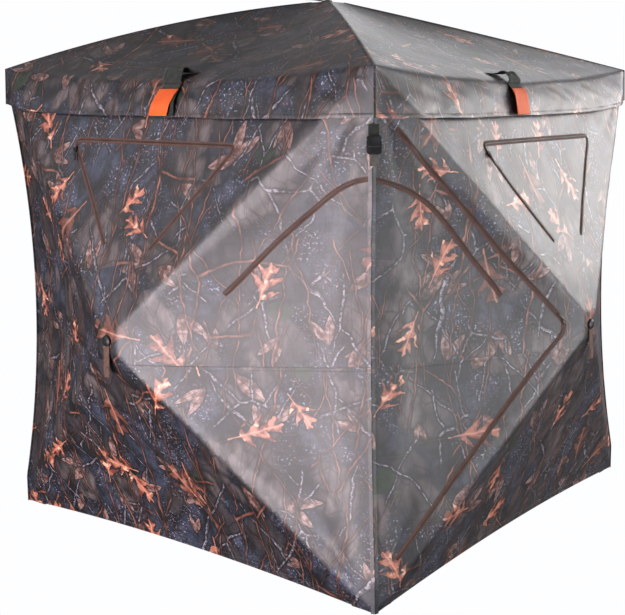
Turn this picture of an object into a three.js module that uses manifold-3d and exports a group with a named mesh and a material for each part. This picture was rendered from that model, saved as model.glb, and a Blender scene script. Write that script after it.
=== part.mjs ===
// Pop up ground blind: four cloth walls and a cloth roof, each pushed outward by a hub and four poles.
// Units are millimetres. +Z is up, the ground is z = 0, and the origin is the middle of the footprint.
// The front wall faces -Y. Every wall is built facing -Y and turned into place about Z.
import * as THREE from "three";
import { mergeVertices } from "three/addons/utils/BufferGeometryUtils.js";
import Module from "manifold-3d";

// ---------- driving dimensions ----------
const HALF = 760; // half the side of the square footprint, measured to the corners
const EAVE = 1500; // height of the four upper corners
const CLOTH = 4; // thickness of every cloth panel
const HUB_Z = 723; // height of the wall hubs
const BULGE = 265; // how far a wall hub stands out past the straight line between corners
const ROOF_RISE = 235; // how far the roof hub stands above the upper corners
const FLAT = 40; // half the side of the square of cloth that lies flat on a hub
const CORNER_BOW = 40; // how far the corner edges bow in, along X and along Y
const BOW_START = 90; // length at each end of a corner edge that stays straight
const EAVE_SAG = 40; // dip of the eave fold halfway between corners
const EAVE_GAP = 6; // gap between a wall's top edge and the roof
const HEM_RISE = 25; // lift of the bottom hem halfway between corners
const HEM_LIFT = 1; // gap between the ground and the hem at the corners
const EDGE_INSET = 4.5; // each wall stops this short of the corner line, clear of its neighbour
const VALANCE = 140; // drop of the roof's skirt below the eave
const ROOF_PROUD = 8; // how far the roof's skirt stands outside the walls
const HEM_FLARE = 2; // how much further out the skirt's hem stands

const PIN_RADIUS = 25; // distance of a pole's pin from the hub's axis
const PIN_DEPTH = 28; // distance of the pins behind the outer face of the cloth
const TIP_INSET = 60; // distance of a pole's tip from the corner, along the edges it lies between
const TIP_DEPTH = 20; // distance of a wall pole's tip behind the corner's face
const PIN_R = 2;
const EYE_R = 2.4; // hole for the pin in a pole's end
const POLE_R = 5;
const TIP_R = 6.5;
const TIP_LENGTH = 45;

const CUP_LEG = 80; // length of a corner cup along each edge
const CUP_WALL = 3;
const CUP_OUT = 755.5; // outer faces of a corner cup, along X and Y
const CUP_TOP = 1488; // top face of the upper cups

const WINDOW_LOW = 985; // height of a window's bottom edge, on the wall's face
const WINDOW_HIGH = 1285;
const WINDOW_LOW_HALF = 95; // half its width at the bottom
const WINDOW_HIGH_HALF = 345; // half its width at the top
const WINDOW_ROUND = 35; // how far its upper corners are cut back by their rounding
const WINDOW_GAP = 1.5; // gap between a window's flap and the wall
const SCREEN_LAP = 12; // how far the mesh screen reaches past the opening
const SCREEN_BEHIND = 6; // how far the screen lies behind the wall

const DOOR_TIP_U = -97; // where the two legs of the door's zipper meet, beside the hub
const DOOR_TIP_Z = 730;
const DOOR_HINGE_U = -690; // line that the door turns about, near the corner
const DOOR_TOP_Z = 1338; // height of the zipper's upper leg on that line
const DOOR_FOOT_Z = 140; // height of its lower leg on that line
const ZIPPER_HALF = 7; // half the width of the zipper with its tapes
const ZIPPER_GAP = 1; // gap on each side of the zipper

const FLAG_WIDTH = 80; // the marker strap in the middle of each side
const FLAG_OUT = 12; // how far it hangs in front of the wall's plane
const FLAG_THICK = 3;
const FLAG_HIGH = 1456; // heights of its ends
const FLAG_LOW = 1352;

const STEM_HOLE_R = 8; // hole in the cloth for a hub's stem
const UPPER_TIP_Z = 1445; // heights of the tips of the wall poles and of the roof poles
const LOWER_TIP_Z = 50;
const ROOF_TIP_Z = 1475;

const SLOT_START = 14; // a hub's slots for its poles: where they start, from the hub's axis
const SLOT_HALF = 6.5;
const SLOT_FLOOR = -15; // their end nearest the cloth
const SLOT_REACH = 60; // far enough to leave the hub's body on their other sides
const PIN_LENGTH = 19;

const TAB_WIDTH = 24; // the webbing tab on each hub
const TAB_START = 19; // its distance from the hub's axis
const TAB_LENGTH = 88;
const TAB_THICK = 3;
const TAB_PROUD = 2; // gap between the tab and the cloth

const SLIDER_START = 35; // distance of the door's slider from the tip of its zipper
const SLIDER_PROUD = 3; // height of the slider's underside over the side panel's plane
const SLIDER_THICK = 5;
const PULLER_HALF = 4;
const PULLER_LENGTH = 36;
const PULLER_THICK = 2;

const STRAP_HALF = 15; // the strap and buckle at the front right corner
const STRAP_THICK = 2.5;
const STRAP_TOP = 1352;
const STRAP_BEHIND = 4; // how far the strap's back lies inside the corner line
const BUCKLE_HALF = 20;
const BUCKLE_TOP = 1321; // the socket's top
const SOCKET_HEIGHT = 28;
const PLUG_HEIGHT = 20.5;
const BUCKLE_OUT = 12; // its front and back, from the strap's back
const BUCKLE_IN = 1;
const BUCKLE_GAP = 0.5; // gap between the socket and the plug

const wallTurns = { front: 0, right: 90, back: 180, left: 270 };
const flagPlaces = { front: 49, right: -80, back: 49, left: -80 };

const topSlope = BULGE / (EAVE - HUB_Z - FLAT);
const sideSlope = BULGE / (HALF - FLAT);

// ---------- materials ----------
function finish(hex, roughness, metalness = 0) {
  return new THREE.MeshStandardMaterial({ color: hex, roughness, metalness });
}
const camoCloth = finish(0x57504e, 0.75);
const meshCloth = finish(0x22231f, 0.9);
const zipperTape = finish(0x5b4636, 0.7);
const zipperMetal = finish(0x2c2622, 0.4, 0.6);
const blackPlastic = finish(0x17181a, 0.5);
const blackWebbing = finish(0x1d1e1c, 0.85);
const brownWebbing = finish(0x5a4434, 0.85);
const orangeCloth = finish(0xe2571c, 0.7);
const fibreglass = finish(0x24262a, 0.35);

// ---------- solids ----------
const wasm = await Module();
wasm.setup();

// A closed three.js geometry as a solid that can be cut and joined.
function solid(geometry) {
  const bare = geometry.clone();
  bare.deleteAttribute("normal");
  bare.deleteAttribute("uv");
  const merged = mergeVertices(bare, 1e-4);
  return new wasm.Manifold(
    new wasm.Mesh({
      numProp: 3,
      vertProperties: new Float32Array(merged.attributes.position.array),
      triVerts: new Uint32Array(merged.index.array),
    }),
  );
}

// A cut or joined solid as a three.js geometry.
function shape(body) {
  const { vertProperties, triVerts } = body.getMesh();
  const geometry = new THREE.BufferGeometry();
  geometry.setAttribute("position", new THREE.BufferAttribute(vertProperties, 3));
  geometry.setIndex(new THREE.BufferAttribute(triVerts, 1));
  geometry.computeVertexNormals();
  return geometry;
}

function piece(name, geometry, material) {
  const mesh = new THREE.Mesh(geometry, material);
  mesh.name = name;
  return mesh;
}

function box(xLow, xHigh, yLow, yHigh, zLow, zHigh) {
  const geometry = new THREE.BoxGeometry(xHigh - xLow, yHigh - yLow, zHigh - zLow);
  geometry.translate((xLow + xHigh) / 2, (yLow + yHigh) / 2, (zLow + zHigh) / 2);
  return geometry;
}

// A closed shell between two nested skins. Each skin is a centre point and a list of loops round it,
// in order from the centre out, counter-clockwise seen from outside the shell.
function shell(outer, inner) {
  const positions = [];
  const count = outer.loops[0].length;
  const triangle = (a, b, c) => positions.push(...a, ...b, ...c);
  const quad = (a, b, c, d) => {
    triangle(a, b, c);
    triangle(a, c, d);
  };
  for (let i = 0; i < count; i++) {
    const j = (i + 1) % count;
    triangle(outer.centre, outer.loops[0][i], outer.loops[0][j]);
    triangle(inner.centre, inner.loops[0][j], inner.loops[0][i]);
    for (let k = 1; k < outer.loops.length; k++) {
      quad(outer.loops[k - 1][i], outer.loops[k][i], outer.loops[k][j], outer.loops[k - 1][j]);
      quad(inner.loops[k - 1][j], inner.loops[k][j], inner.loops[k][i], inner.loops[k - 1][i]);
    }
    const last = outer.loops.length - 1;
    quad(outer.loops[last][i], inner.loops[last][i], inner.loops[last][j], outer.loops[last][j]);
  }
  const geometry = new THREE.BufferGeometry();
  geometry.setAttribute("position", new THREE.Float32BufferAttribute(positions, 3));
  geometry.computeVertexNormals();
  return geometry;
}

// The points of an outline on a wall's face, carried straight through the wall.
function throughWall(points) {
  const outline = new THREE.Shape(points.map(([u, z]) => new THREE.Vector2(u, z)));
  const geometry = new THREE.ExtrudeGeometry(outline, { depth: 2 * HALF, bevelEnabled: false });
  geometry.rotateX(Math.PI / 2);
  return solid(geometry);
}

// ---------- the shape of a wall ----------
function cornerBow(z) {
  const along = (z - EAVE / 2) / (EAVE / 2 - BOW_START);
  return Math.abs(along) >= 1 ? 0 : CORNER_BOW * (1 - along * along);
}

function eaveSag(u) {
  return EAVE_SAG * (1 - (u / HALF) ** 2);
}

// Evenly spaced values from the first to just before the last.
function steps(first, last, count) {
  return Array.from({ length: count }, (_, i) => first + ((last - first) * i) / count);
}

// The wall's edge and the square on its hub, counter-clockwise from the lower left corner.
function wallLoops() {
  const reach = HALF - EDGE_INSET;
  const hemCount = 6;
  const top = EAVE - EAVE_GAP;
  const heights = [HEM_LIFT, ...steps(BOW_START, EAVE - BOW_START, 8), EAVE - BOW_START, top];
  const low = HUB_Z - FLAT;
  const high = HUB_Z + FLAT;
  const edge = [];
  const hub = [];
  const add = (u, n, z, hubU, hubZ) => {
    edge.push([u, -n, z]);
    hub.push([hubU, -(HALF + BULGE), hubZ]);
  };
  for (const t of steps(-1, 1, hemCount))
    add(t * reach, HALF, HEM_LIFT + HEM_RISE * (1 - t * t), t * FLAT, low);
  const sideHub = (z) => low + ((high - low) * (z - HEM_LIFT)) / (top - HEM_LIFT);
  for (const z of heights.slice(0, -1))
    add(reach - cornerBow(z), HALF - cornerBow(z), z, FLAT, sideHub(z));
  for (const t of steps(1, -1, hemCount)) {
    const sag = EAVE_GAP + eaveSag(t * reach);
    add(t * reach, HALF + sag * topSlope, EAVE - sag, t * FLAT, high);
  }
  for (const z of heights.slice(1).reverse())
    add(-(reach - cornerBow(z)), HALF - cornerBow(z), z, -FLAT, sideHub(z));
  return [hub, edge];
}

function moved(loops, y) {
  return loops.map((loop) => loop.map(([px, py, pz]) => [px, py + y, pz]));
}

// A wall's cloth before its openings are cut, pushed in by the given distance.
function wallSheet(behind = 0) {
  const loops = wallLoops();
  const face = -(HALF + BULGE);
  const outer = { centre: [0, face + behind, HUB_Z], loops: moved(loops, behind) };
  const inner = {
    centre: [0, face + behind + CLOTH, HUB_Z],
    loops: moved(loops, behind + CLOTH),
  };
  return solid(shell(outer, inner));
}

// A window's outline, drawn in by the given distance, with its two upper corners rounded.
function windowOutline(inset) {
  const rise = WINDOW_HIGH - WINDOW_LOW;
  const run = WINDOW_HIGH_HALF - WINDOW_LOW_HALF;
  const slant = Math.hypot(rise, run);
  const halfAt = (z) => WINDOW_LOW_HALF + (run * (z - WINDOW_LOW)) / rise - (inset * slant) / rise;
  const low = WINDOW_LOW + inset;
  const high = WINDOW_HIGH - inset;
  const corner = new THREE.Vector2(halfAt(high), high);
  const curve = new THREE.QuadraticBezierCurve(
    new THREE.Vector2(halfAt(high - WINDOW_ROUND), high - WINDOW_ROUND),
    corner,
    new THREE.Vector2(corner.x - WINDOW_ROUND, high),
  );
  const right = curve.getPoints(4).map((p) => [p.x, p.y]);
  const left = right.map(([u, z]) => [-u, z]).reverse();
  return [[-halfAt(low), low], [halfAt(low), low], ...right, ...left];
}

// The door's triangle, spread past the middle of its zipper by the given distance.
function doorOutline(spread, hingeU) {
  const upper = (DOOR_TOP_Z - DOOR_TIP_Z) / (DOOR_HINGE_U - DOOR_TIP_U);
  const lower = (DOOR_FOOT_Z - DOOR_TIP_Z) / (DOOR_HINGE_U - DOOR_TIP_U);
  const upperShift = spread * Math.hypot(1, upper);
  const lowerShift = spread * Math.hypot(1, lower);
  const tip = -(upperShift + lowerShift) / (upper - lower);
  const back = hingeU - DOOR_TIP_U;
  return [
    [hingeU, DOOR_TIP_Z + lower * back - lowerShift],
    [DOOR_TIP_U + tip, DOOR_TIP_Z + upper * tip + upperShift],
    [hingeU, DOOR_TIP_Z + upper * back + upperShift],
  ];
}

// ---------- hub, poles and cups ----------
// A hub: plate and core behind the cloth, a stem through it and a cap in front, with four forked slots
// and a pin across each. It is built with +Z pointing out of the cloth, whose outer face is z = 0.
function hubBody(directions) {
  const profile = [
    [0, -44],
    [33, -44],
    [36, -41],
    [36, -11],
    [39, -10],
    [39, -5.5],
    [38, -4.5],
    [6, -4.5],
    [6, 0.5],
    [15, 0.5],
    [17, 2.5],
    [15, 6.5],
    [8, 9],
    [0, 9.5],
  ].map(([r, z]) => new THREE.Vector2(r, z));
  const turned = new THREE.LatheGeometry(profile, 24);
  turned.rotateX(Math.PI / 2);
  let body = solid(turned);
  for (const angle of directions) {
    const slot = box(SLOT_START, SLOT_REACH, -SLOT_HALF, SLOT_HALF, -SLOT_REACH, SLOT_FLOOR);
    slot.rotateZ(angle);
    body = body.subtract(solid(slot));
  }
  for (const angle of directions) {
    const pin = new THREE.CylinderGeometry(PIN_R, PIN_R, PIN_LENGTH, 10);
    pin.translate(PIN_RADIUS, 0, -PIN_DEPTH);
    pin.rotateZ(angle);
    body = body.add(solid(pin));
  }
  return shape(body);
}

// A pole from its pin to its tip: a rod with an eye for the pin and a thicker tip.
function pole(pin, tip, hingeAxis) {
  const length = pin.distanceTo(tip);
  const profile = [
    [0, -7],
    [3.5, -6.5],
    [POLE_R, -4],
    [POLE_R, length - TIP_LENGTH - 2],
    [TIP_R, length - TIP_LENGTH],
    [TIP_R, length - 5],
    [4, length],
    [0, length],
  ].map(([r, y]) => new THREE.Vector2(r, y));
  const rod = new THREE.LatheGeometry(profile, 10);
  const eye = new THREE.CylinderGeometry(EYE_R, EYE_R, 20, 10);
  eye.rotateZ(Math.PI / 2);
  const along = tip.clone().sub(pin).normalize();
  const place = new THREE.Matrix4().makeBasis(hingeAxis, along, hingeAxis.clone().cross(along));
  place.setPosition(pin);
  rod.applyMatrix4(place);
  eye.applyMatrix4(place);
  return shape(solid(rod).subtract(solid(eye)));
}

// A corner cup: three plates that meet at the origin and reach towards +X, +Y and -Z.
function cornerCup() {
  const cut = CUP_LEG * 0.35;
  const outline = new THREE.Shape([
    new THREE.Vector2(0, 0),
    new THREE.Vector2(CUP_LEG, 0),
    new THREE.Vector2(CUP_LEG, cut),
    new THREE.Vector2(cut, CUP_LEG),
    new THREE.Vector2(0, CUP_LEG),
  ]);
  const plate = new THREE.ExtrudeGeometry(outline, { depth: CUP_WALL, bevelEnabled: false });
  const standing = plate.clone().rotateX(-Math.PI / 2);
  const side = standing.clone().rotateZ(Math.PI / 2).translate(CUP_WALL, 0, 0);
  const level = plate.translate(0, 0, -CUP_WALL);
  return shape(solid(level).add(solid(standing)).add(solid(side)));
}

// ---------- the walls ----------
const blind = new THREE.Group();
const hubFace = new THREE.Vector3(0, -(HALF + BULGE), HUB_Z);

// The four poles of a hub, given where the hub's face is, which way is out, and where the tips go.
function hubAndPoles(name, group, face, out, tips) {
  const centre = face.clone().addScaledVector(out, -PIN_DEPTH);
  const toHub = new THREE.Quaternion();
  const angles = [];
  for (const [corner, tip] of Object.entries(tips)) {
    const outward = tip.clone().sub(centre);
    outward.addScaledVector(out, -outward.dot(out)).normalize();
    const pin = centre.clone().addScaledVector(outward, PIN_RADIUS);
    const hingeAxis = out.clone().cross(outward);
    group.add(piece(`pole_${name}_${corner}`, pole(pin, tip, hingeAxis), fibreglass));
    angles.push(out.z > 0.5 ? Math.atan2(outward.y, outward.x) : Math.atan2(outward.z, outward.x));
  }
  const hub = piece(`hub_${name}`, hubBody(angles), blackPlastic);
  if (out.z < 0.5) toHub.setFromAxisAngle(new THREE.Vector3(1, 0, 0), Math.PI / 2);
  hub.quaternion.copy(toHub);
  hub.position.copy(face);
  group.add(hub);
}

// A webbing tab for pulling a hub out. It starts beside the cap and runs along -Y of its own frame.
function pullTab() {
  const half = TAB_WIDTH / 2;
  return box(-half, half, -TAB_START - TAB_LENGTH, -TAB_START, TAB_PROUD, TAB_PROUD + TAB_THICK);
}

function flagStrap(middle) {
  const front = -(HALF + FLAG_OUT);
  const strap = box(
    middle - FLAG_WIDTH / 2,
    middle + FLAG_WIDTH / 2,
    front - FLAG_THICK,
    front,
    FLAG_LOW,
    FLAG_HIGH,
  );
  // Lean the strap to lie along the wall, which comes forward as it goes down.
  const lean = new THREE.Matrix4().makeShear(0, 0, 0, 0, 0, topSlope);
  lean.setPosition(0, -topSlope * EAVE, 0);
  return strap.applyMatrix4(lean);
}

// A zipper slider with its puller, on the flat plane of the side panel, in line with the upper leg.
function doorSlider() {
  const ends = doorOutline(0, DOOR_HINGE_U);
  const run = new THREE.Vector2(ends[2][0] - ends[1][0], ends[2][1] - ends[1][1]).normalize();
  const start = new THREE.Vector2(...ends[1]).addScaledVector(run, SLIDER_START);
  const onPanel = (u, z, proud) =>
    new THREE.Vector3(u, -(HALF + sideSlope * (HALF + u) + proud), z);
  const here = onPanel(start.x, start.y, SLIDER_PROUD);
  const ahead = onPanel(start.x + run.x, start.y + run.y, SLIDER_PROUD);
  const along = ahead.sub(here).normalize();
  const out = new THREE.Vector3(sideSlope, -1, 0).normalize();
  const across = along.clone().cross(out);
  const outline = new THREE.Shape([
    new THREE.Vector2(-5, -8),
    new THREE.Vector2(5, -8),
    new THREE.Vector2(6.5, 6),
    new THREE.Vector2(4, 9),
    new THREE.Vector2(-4, 9),
    new THREE.Vector2(-6.5, 6),
  ]);
  const block = new THREE.ExtrudeGeometry(outline, { depth: SLIDER_THICK, bevelEnabled: false });
  const low = SLIDER_THICK - 0.5;
  const puller = box(-PULLER_HALF, PULLER_HALF, -PULLER_LENGTH - 2, -2, low, low + PULLER_THICK);
  const place = new THREE.Matrix4().makeBasis(across, along, across.clone().cross(along));
  place.setPosition(here);
  return shape(solid(block).add(solid(puller))).applyMatrix4(place);
}

for (const [name, turn] of Object.entries(wallTurns)) {
  const wall = new THREE.Group();
  wall.rotation.z = THREE.MathUtils.degToRad(turn);
  blind.add(wall);

  const sheet = wallSheet();
  const hubHole = new THREE.CylinderGeometry(STEM_HOLE_R, STEM_HOLE_R, 60, 16);
  hubHole.translate(0, hubFace.y, HUB_Z);
  let cloth = sheet.subtract(solid(hubHole)).subtract(throughWall(windowOutline(0)));
  if (name === "right") {
    const zipperOuter = throughWall(doorOutline(ZIPPER_HALF, DOOR_HINGE_U));
    const zipperInner = throughWall(doorOutline(-ZIPPER_HALF, DOOR_HINGE_U));
    const opening = throughWall(doorOutline(ZIPPER_HALF + ZIPPER_GAP, DOOR_HINGE_U - ZIPPER_GAP));
    const flap = throughWall(doorOutline(-ZIPPER_HALF - ZIPPER_GAP, DOOR_HINGE_U));
    cloth = cloth.subtract(opening);
    const zipper = sheet.intersect(zipperOuter).subtract(zipperInner);
    wall.add(piece("door_zipper", shape(zipper), zipperTape));
    wall.add(piece("door_flap", shape(sheet.intersect(flap)), camoCloth));
    wall.add(piece("door_zipper_slider", doorSlider(), zipperMetal));
  }
  wall.add(piece(`wall_${name}`, shape(cloth), camoCloth));

  const flap = sheet.intersect(throughWall(windowOutline(WINDOW_GAP)));
  wall.add(piece(`window_flap_${name}`, shape(flap), camoCloth));
  const screen = wallSheet(SCREEN_BEHIND).intersect(throughWall(windowOutline(-SCREEN_LAP)));
  wall.add(piece(`window_screen_${name}`, shape(screen), meshCloth));

  const tips = {};
  for (const [side, sign] of [["left", -1], ["right", 1]]) {
    const u = sign * (HALF - TIP_INSET);
    tips[`upper_${side}`] = new THREE.Vector3(u, -(HALF - TIP_DEPTH), UPPER_TIP_Z);
    tips[`lower_${side}`] = new THREE.Vector3(u, -(HALF - TIP_DEPTH), LOWER_TIP_Z);
  }
  hubAndPoles(name, wall, hubFace, new THREE.Vector3(0, -1, 0), tips);

  const tab = piece(`hub_tab_${name}`, pullTab(), brownWebbing);
  tab.rotation.x = Math.PI / 2;
  tab.position.copy(hubFace);
  wall.add(tab);
  wall.add(piece(`flag_strap_${name}`, flagStrap(flagPlaces[name]), orangeCloth));
}

// ---------- the roof ----------
// One row of points round the roof's skirt, from the eave fold (drop 0) to the hem (drop 1).
function skirtRow(drop, behind, lower) {
  const proud = ROOF_PROUD + HEM_FLARE * drop;
  const corner = HALF + proud - behind;
  const heightAt = (u) => {
    const fold = EAVE + CLOTH - eaveSag(Math.min(Math.abs(u), HALF));
    return fold + (EAVE - VALANCE - fold) * drop;
  };
  const ridge = Math.min(HALF - ((EAVE - heightAt(HALF)) * topSlope) / sideSlope, HALF - 15);
  const between = (corner + ridge) / 2;
  const spread = [-between, -ridge, (-ridge * 2) / 3, -ridge / 3, 0, ridge / 3, (ridge * 2) / 3];
  spread.push(ridge, between);
  const side = spread.map((u) => {
    const z = heightAt(u);
    const out = Math.min(topSlope * (EAVE - z), sideSlope * (HALF - Math.abs(u)));
    return [u, -(HALF + Math.max(out, 0) + proud - behind), z - lower];
  });
  side.unshift([-corner, -corner, heightAt(HALF) - lower]);
  return side;
}

// Four copies of one side's points, turned round the Z axis.
function allRound(side) {
  const turnOnce = ([x, y, z]) => [-y, x, z];
  const loop = [];
  let points = side;
  for (let k = 0; k < 4; k++) {
    loop.push(...points);
    points = points.map(turnOnce);
  }
  return loop;
}

function roofLoops(behind) {
  const eave = skirtRow(0, behind, behind);
  const top = eave.map(([u]) => [(u / eave[0][0]) * -FLAT, -FLAT, EAVE + ROOF_RISE - behind]);
  const rows = [top, eave, skirtRow(0.5, behind, 0), skirtRow(1, behind, 0)];
  return {
    centre: [0, 0, EAVE + ROOF_RISE - behind],
    loops: rows.map(allRound),
  };
}

const roofHole = new THREE.CylinderGeometry(STEM_HOLE_R, STEM_HOLE_R, 60, 16);
roofHole.rotateX(Math.PI / 2).translate(0, 0, EAVE + ROOF_RISE);
const roofCloth = solid(shell(roofLoops(0), roofLoops(CLOTH))).subtract(solid(roofHole));
blind.add(piece("roof_cover", shape(roofCloth), camoCloth));

const roofTips = {};
const corners = { front_left: [-1, -1], front_right: [1, -1], back_right: [1, 1], back_left: [-1, 1] };
for (const [corner, [sx, sy]] of Object.entries(corners)) {
  const reach = HALF - TIP_INSET;
  roofTips[corner] = new THREE.Vector3(sx * reach, sy * reach, ROOF_TIP_Z);
}
const roofFace = new THREE.Vector3(0, 0, EAVE + ROOF_RISE);
hubAndPoles("roof", blind, roofFace, new THREE.Vector3(0, 0, 1), roofTips);
const roofTab = piece("hub_tab_roof", pullTab(), brownWebbing);
roofTab.position.copy(roofFace);
blind.add(roofTab);

// ---------- the corners ----------
Object.keys(corners).forEach((corner, quarter) => {
  for (const level of ["upper", "lower"]) {
    const cup = piece(`corner_cup_${level}_${corner}`, cornerCup(), blackPlastic);
    const turned = new THREE.Group();
    turned.rotation.z = (quarter * Math.PI) / 2;
    cup.position.set(-CUP_OUT, -CUP_OUT, level === "upper" ? CUP_TOP : 0);
    // A lower cup is an upper one turned over about the line across its corner.
    const acrossCorner = new THREE.Vector3(1, 1, 0).normalize();
    if (level === "lower") cup.quaternion.setFromAxisAngle(acrossCorner, Math.PI);
    turned.add(cup);
    blind.add(turned);
  }
});

// The strap and buckle that hang at the front right corner, built facing -Y and turned to the corner.
// Each box has its half width, how far it reaches out and in from the strap's back, and its ends
// below and above the top of the socket.
const cornerFace = -(HALF * Math.SQRT2 - STRAP_BEHIND);
const cornerGroup = new THREE.Group();
cornerGroup.rotation.z = Math.PI / 4;
blind.add(cornerGroup);
const across = (half, outer, inner, low, high) =>
  box(-half, half, cornerFace - outer, cornerFace + inner, BUCKLE_TOP - low, BUCKLE_TOP + high);
const strap = across(STRAP_HALF, STRAP_THICK, 0, 2, STRAP_TOP - BUCKLE_TOP);
const socket = across(BUCKLE_HALF, BUCKLE_OUT, BUCKLE_IN, SOCKET_HEIGHT, 0);
const socketRoom = across(STRAP_HALF, BUCKLE_OUT - 3, -2, SOCKET_HEIGHT + 2, -5);
const strapBody = solid(strap).add(solid(socket)).subtract(solid(socketRoom));
cornerGroup.add(piece("corner_strap", shape(strapBody), blackWebbing));

const plugTop = SOCKET_HEIGHT + BUCKLE_GAP;
const plugEnd = plugTop + PLUG_HEIGHT;
const plug = across(BUCKLE_HALF, BUCKLE_OUT, BUCKLE_IN, plugEnd, -plugTop);
const prong = across(STRAP_HALF - 1, BUCKLE_OUT - 4, -3, plugTop + 2, -8);
const loose = across(STRAP_HALF - 2, 6.5, -4, plugEnd + 31, 2 - plugEnd);
const buckle = solid(plug).add(solid(prong)).add(solid(loose));
cornerGroup.add(piece("corner_buckle", shape(buckle), blackPlastic));

export default blind;
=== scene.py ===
"""Pop up ground blind: the printed cloth, zippers, straps and hardware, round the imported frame."""

import math

import bpy
import numpy as np
from mathutils import Matrix, Vector, kdtree, noise
from mathutils.geometry import delaunay_2d_cdt


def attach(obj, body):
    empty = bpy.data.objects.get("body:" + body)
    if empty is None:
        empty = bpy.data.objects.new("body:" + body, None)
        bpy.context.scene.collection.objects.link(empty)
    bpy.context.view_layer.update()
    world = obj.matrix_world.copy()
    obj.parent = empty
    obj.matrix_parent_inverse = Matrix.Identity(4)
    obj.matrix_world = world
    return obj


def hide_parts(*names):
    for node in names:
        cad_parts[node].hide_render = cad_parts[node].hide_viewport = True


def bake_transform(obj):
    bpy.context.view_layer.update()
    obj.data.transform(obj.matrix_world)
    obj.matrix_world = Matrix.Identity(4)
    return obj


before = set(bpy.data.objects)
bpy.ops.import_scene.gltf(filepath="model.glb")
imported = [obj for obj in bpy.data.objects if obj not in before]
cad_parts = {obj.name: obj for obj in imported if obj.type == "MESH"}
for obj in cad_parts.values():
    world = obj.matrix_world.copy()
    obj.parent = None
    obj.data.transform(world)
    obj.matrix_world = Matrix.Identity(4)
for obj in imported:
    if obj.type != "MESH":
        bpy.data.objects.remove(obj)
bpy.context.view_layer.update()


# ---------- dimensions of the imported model, in metres ----------
HALF = 0.76  # half the side of the square footprint
EAVE = 1.5  # height of the four upper corners
HUB_Z = 0.723  # height of the wall hubs
BULGE = 0.265  # how far a wall hub stands out
ROOF_RISE = 0.235
FLAT = 0.04  # half the side of the square of cloth on a hub
CORNER_BOW = 0.04  # how far the corner edges bow in
BOW_START = 0.09  # length at each end of a corner edge that stays straight
EAVE_SAG = 0.04  # dip of the eave fold halfway between corners
EAVE_GAP = 0.006  # gap between a wall's top edge and the roof
HEM_RISE = 0.025  # lift of the bottom hem halfway between corners
HEM_LIFT = 0.001  # gap between the ground and the hem at the corners
EDGE_INSET = 0.0045  # each wall stops this short of the corner line
VALANCE = 0.14  # drop of the roof's skirt below the eave
ROOF_PROUD = 0.008  # how far the skirt stands outside the walls
HEM_FLARE = 0.002  # how much further out the skirt's hem stands
CLOTH = 0.004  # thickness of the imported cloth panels
WINDOW_LOW, WINDOW_HIGH = 0.985, 1.285
WINDOW_LOW_HALF, WINDOW_HIGH_HALF = 0.095, 0.345
WINDOW_ROUND = 0.035
DOOR_TIP = (-0.097, 0.73)
DOOR_HINGE_U = -0.69
DOOR_TOP_Z, DOOR_FOOT_Z = 1.338, 0.14

PIN_RADIUS, PIN_DEPTH, TIP_INSET, TIP_DEPTH = 0.025, 0.028, 0.06, 0.02
UPPER_TIP_Z, LOWER_TIP_Z, ROOF_TIP_Z = 1.445, 0.05, 1.475

FACE = HALF + BULGE
REACH = HALF - EDGE_INSET
LOW = HUB_Z - FLAT
TOP = EAVE - EAVE_GAP
TOP_SLOPE = BULGE / (EAVE - HUB_Z - FLAT)
SIDE_SLOPE = BULGE / (HALF - FLAT)
TURNS = {"front": 0, "right": 90, "back": 180, "left": 270}
FLAG_PLACES = {"front": 0.049, "right": -0.08, "back": 0.049, "left": -0.08}


# ---------- camera ----------
IMAGE_W, IMAGE_H = 625, 615
FOCAL_PX, CENTRE_X, CENTRE_Y = 1147.65, 391.4, 244.9
YAW, PITCH, ROLL = 0.6214, 0.1393, 0.0
camera = bpy.data.objects.new("camera", bpy.data.cameras.new("camera"))
bpy.context.scene.collection.objects.link(camera)
bpy.context.scene.camera = camera
camera.location = (2.5469, -3.1772, 1.455)
camera.rotation_euler = (math.pi / 2 - PITCH, ROLL, YAW)
camera.data.sensor_width = 36
camera.data.lens = 36 * FOCAL_PX / IMAGE_W
camera.data.shift_x = (IMAGE_W / 2 - CENTRE_X) / IMAGE_W
camera.data.shift_y = (CENTRE_Y - IMAGE_H / 2) / IMAGE_W


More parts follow.
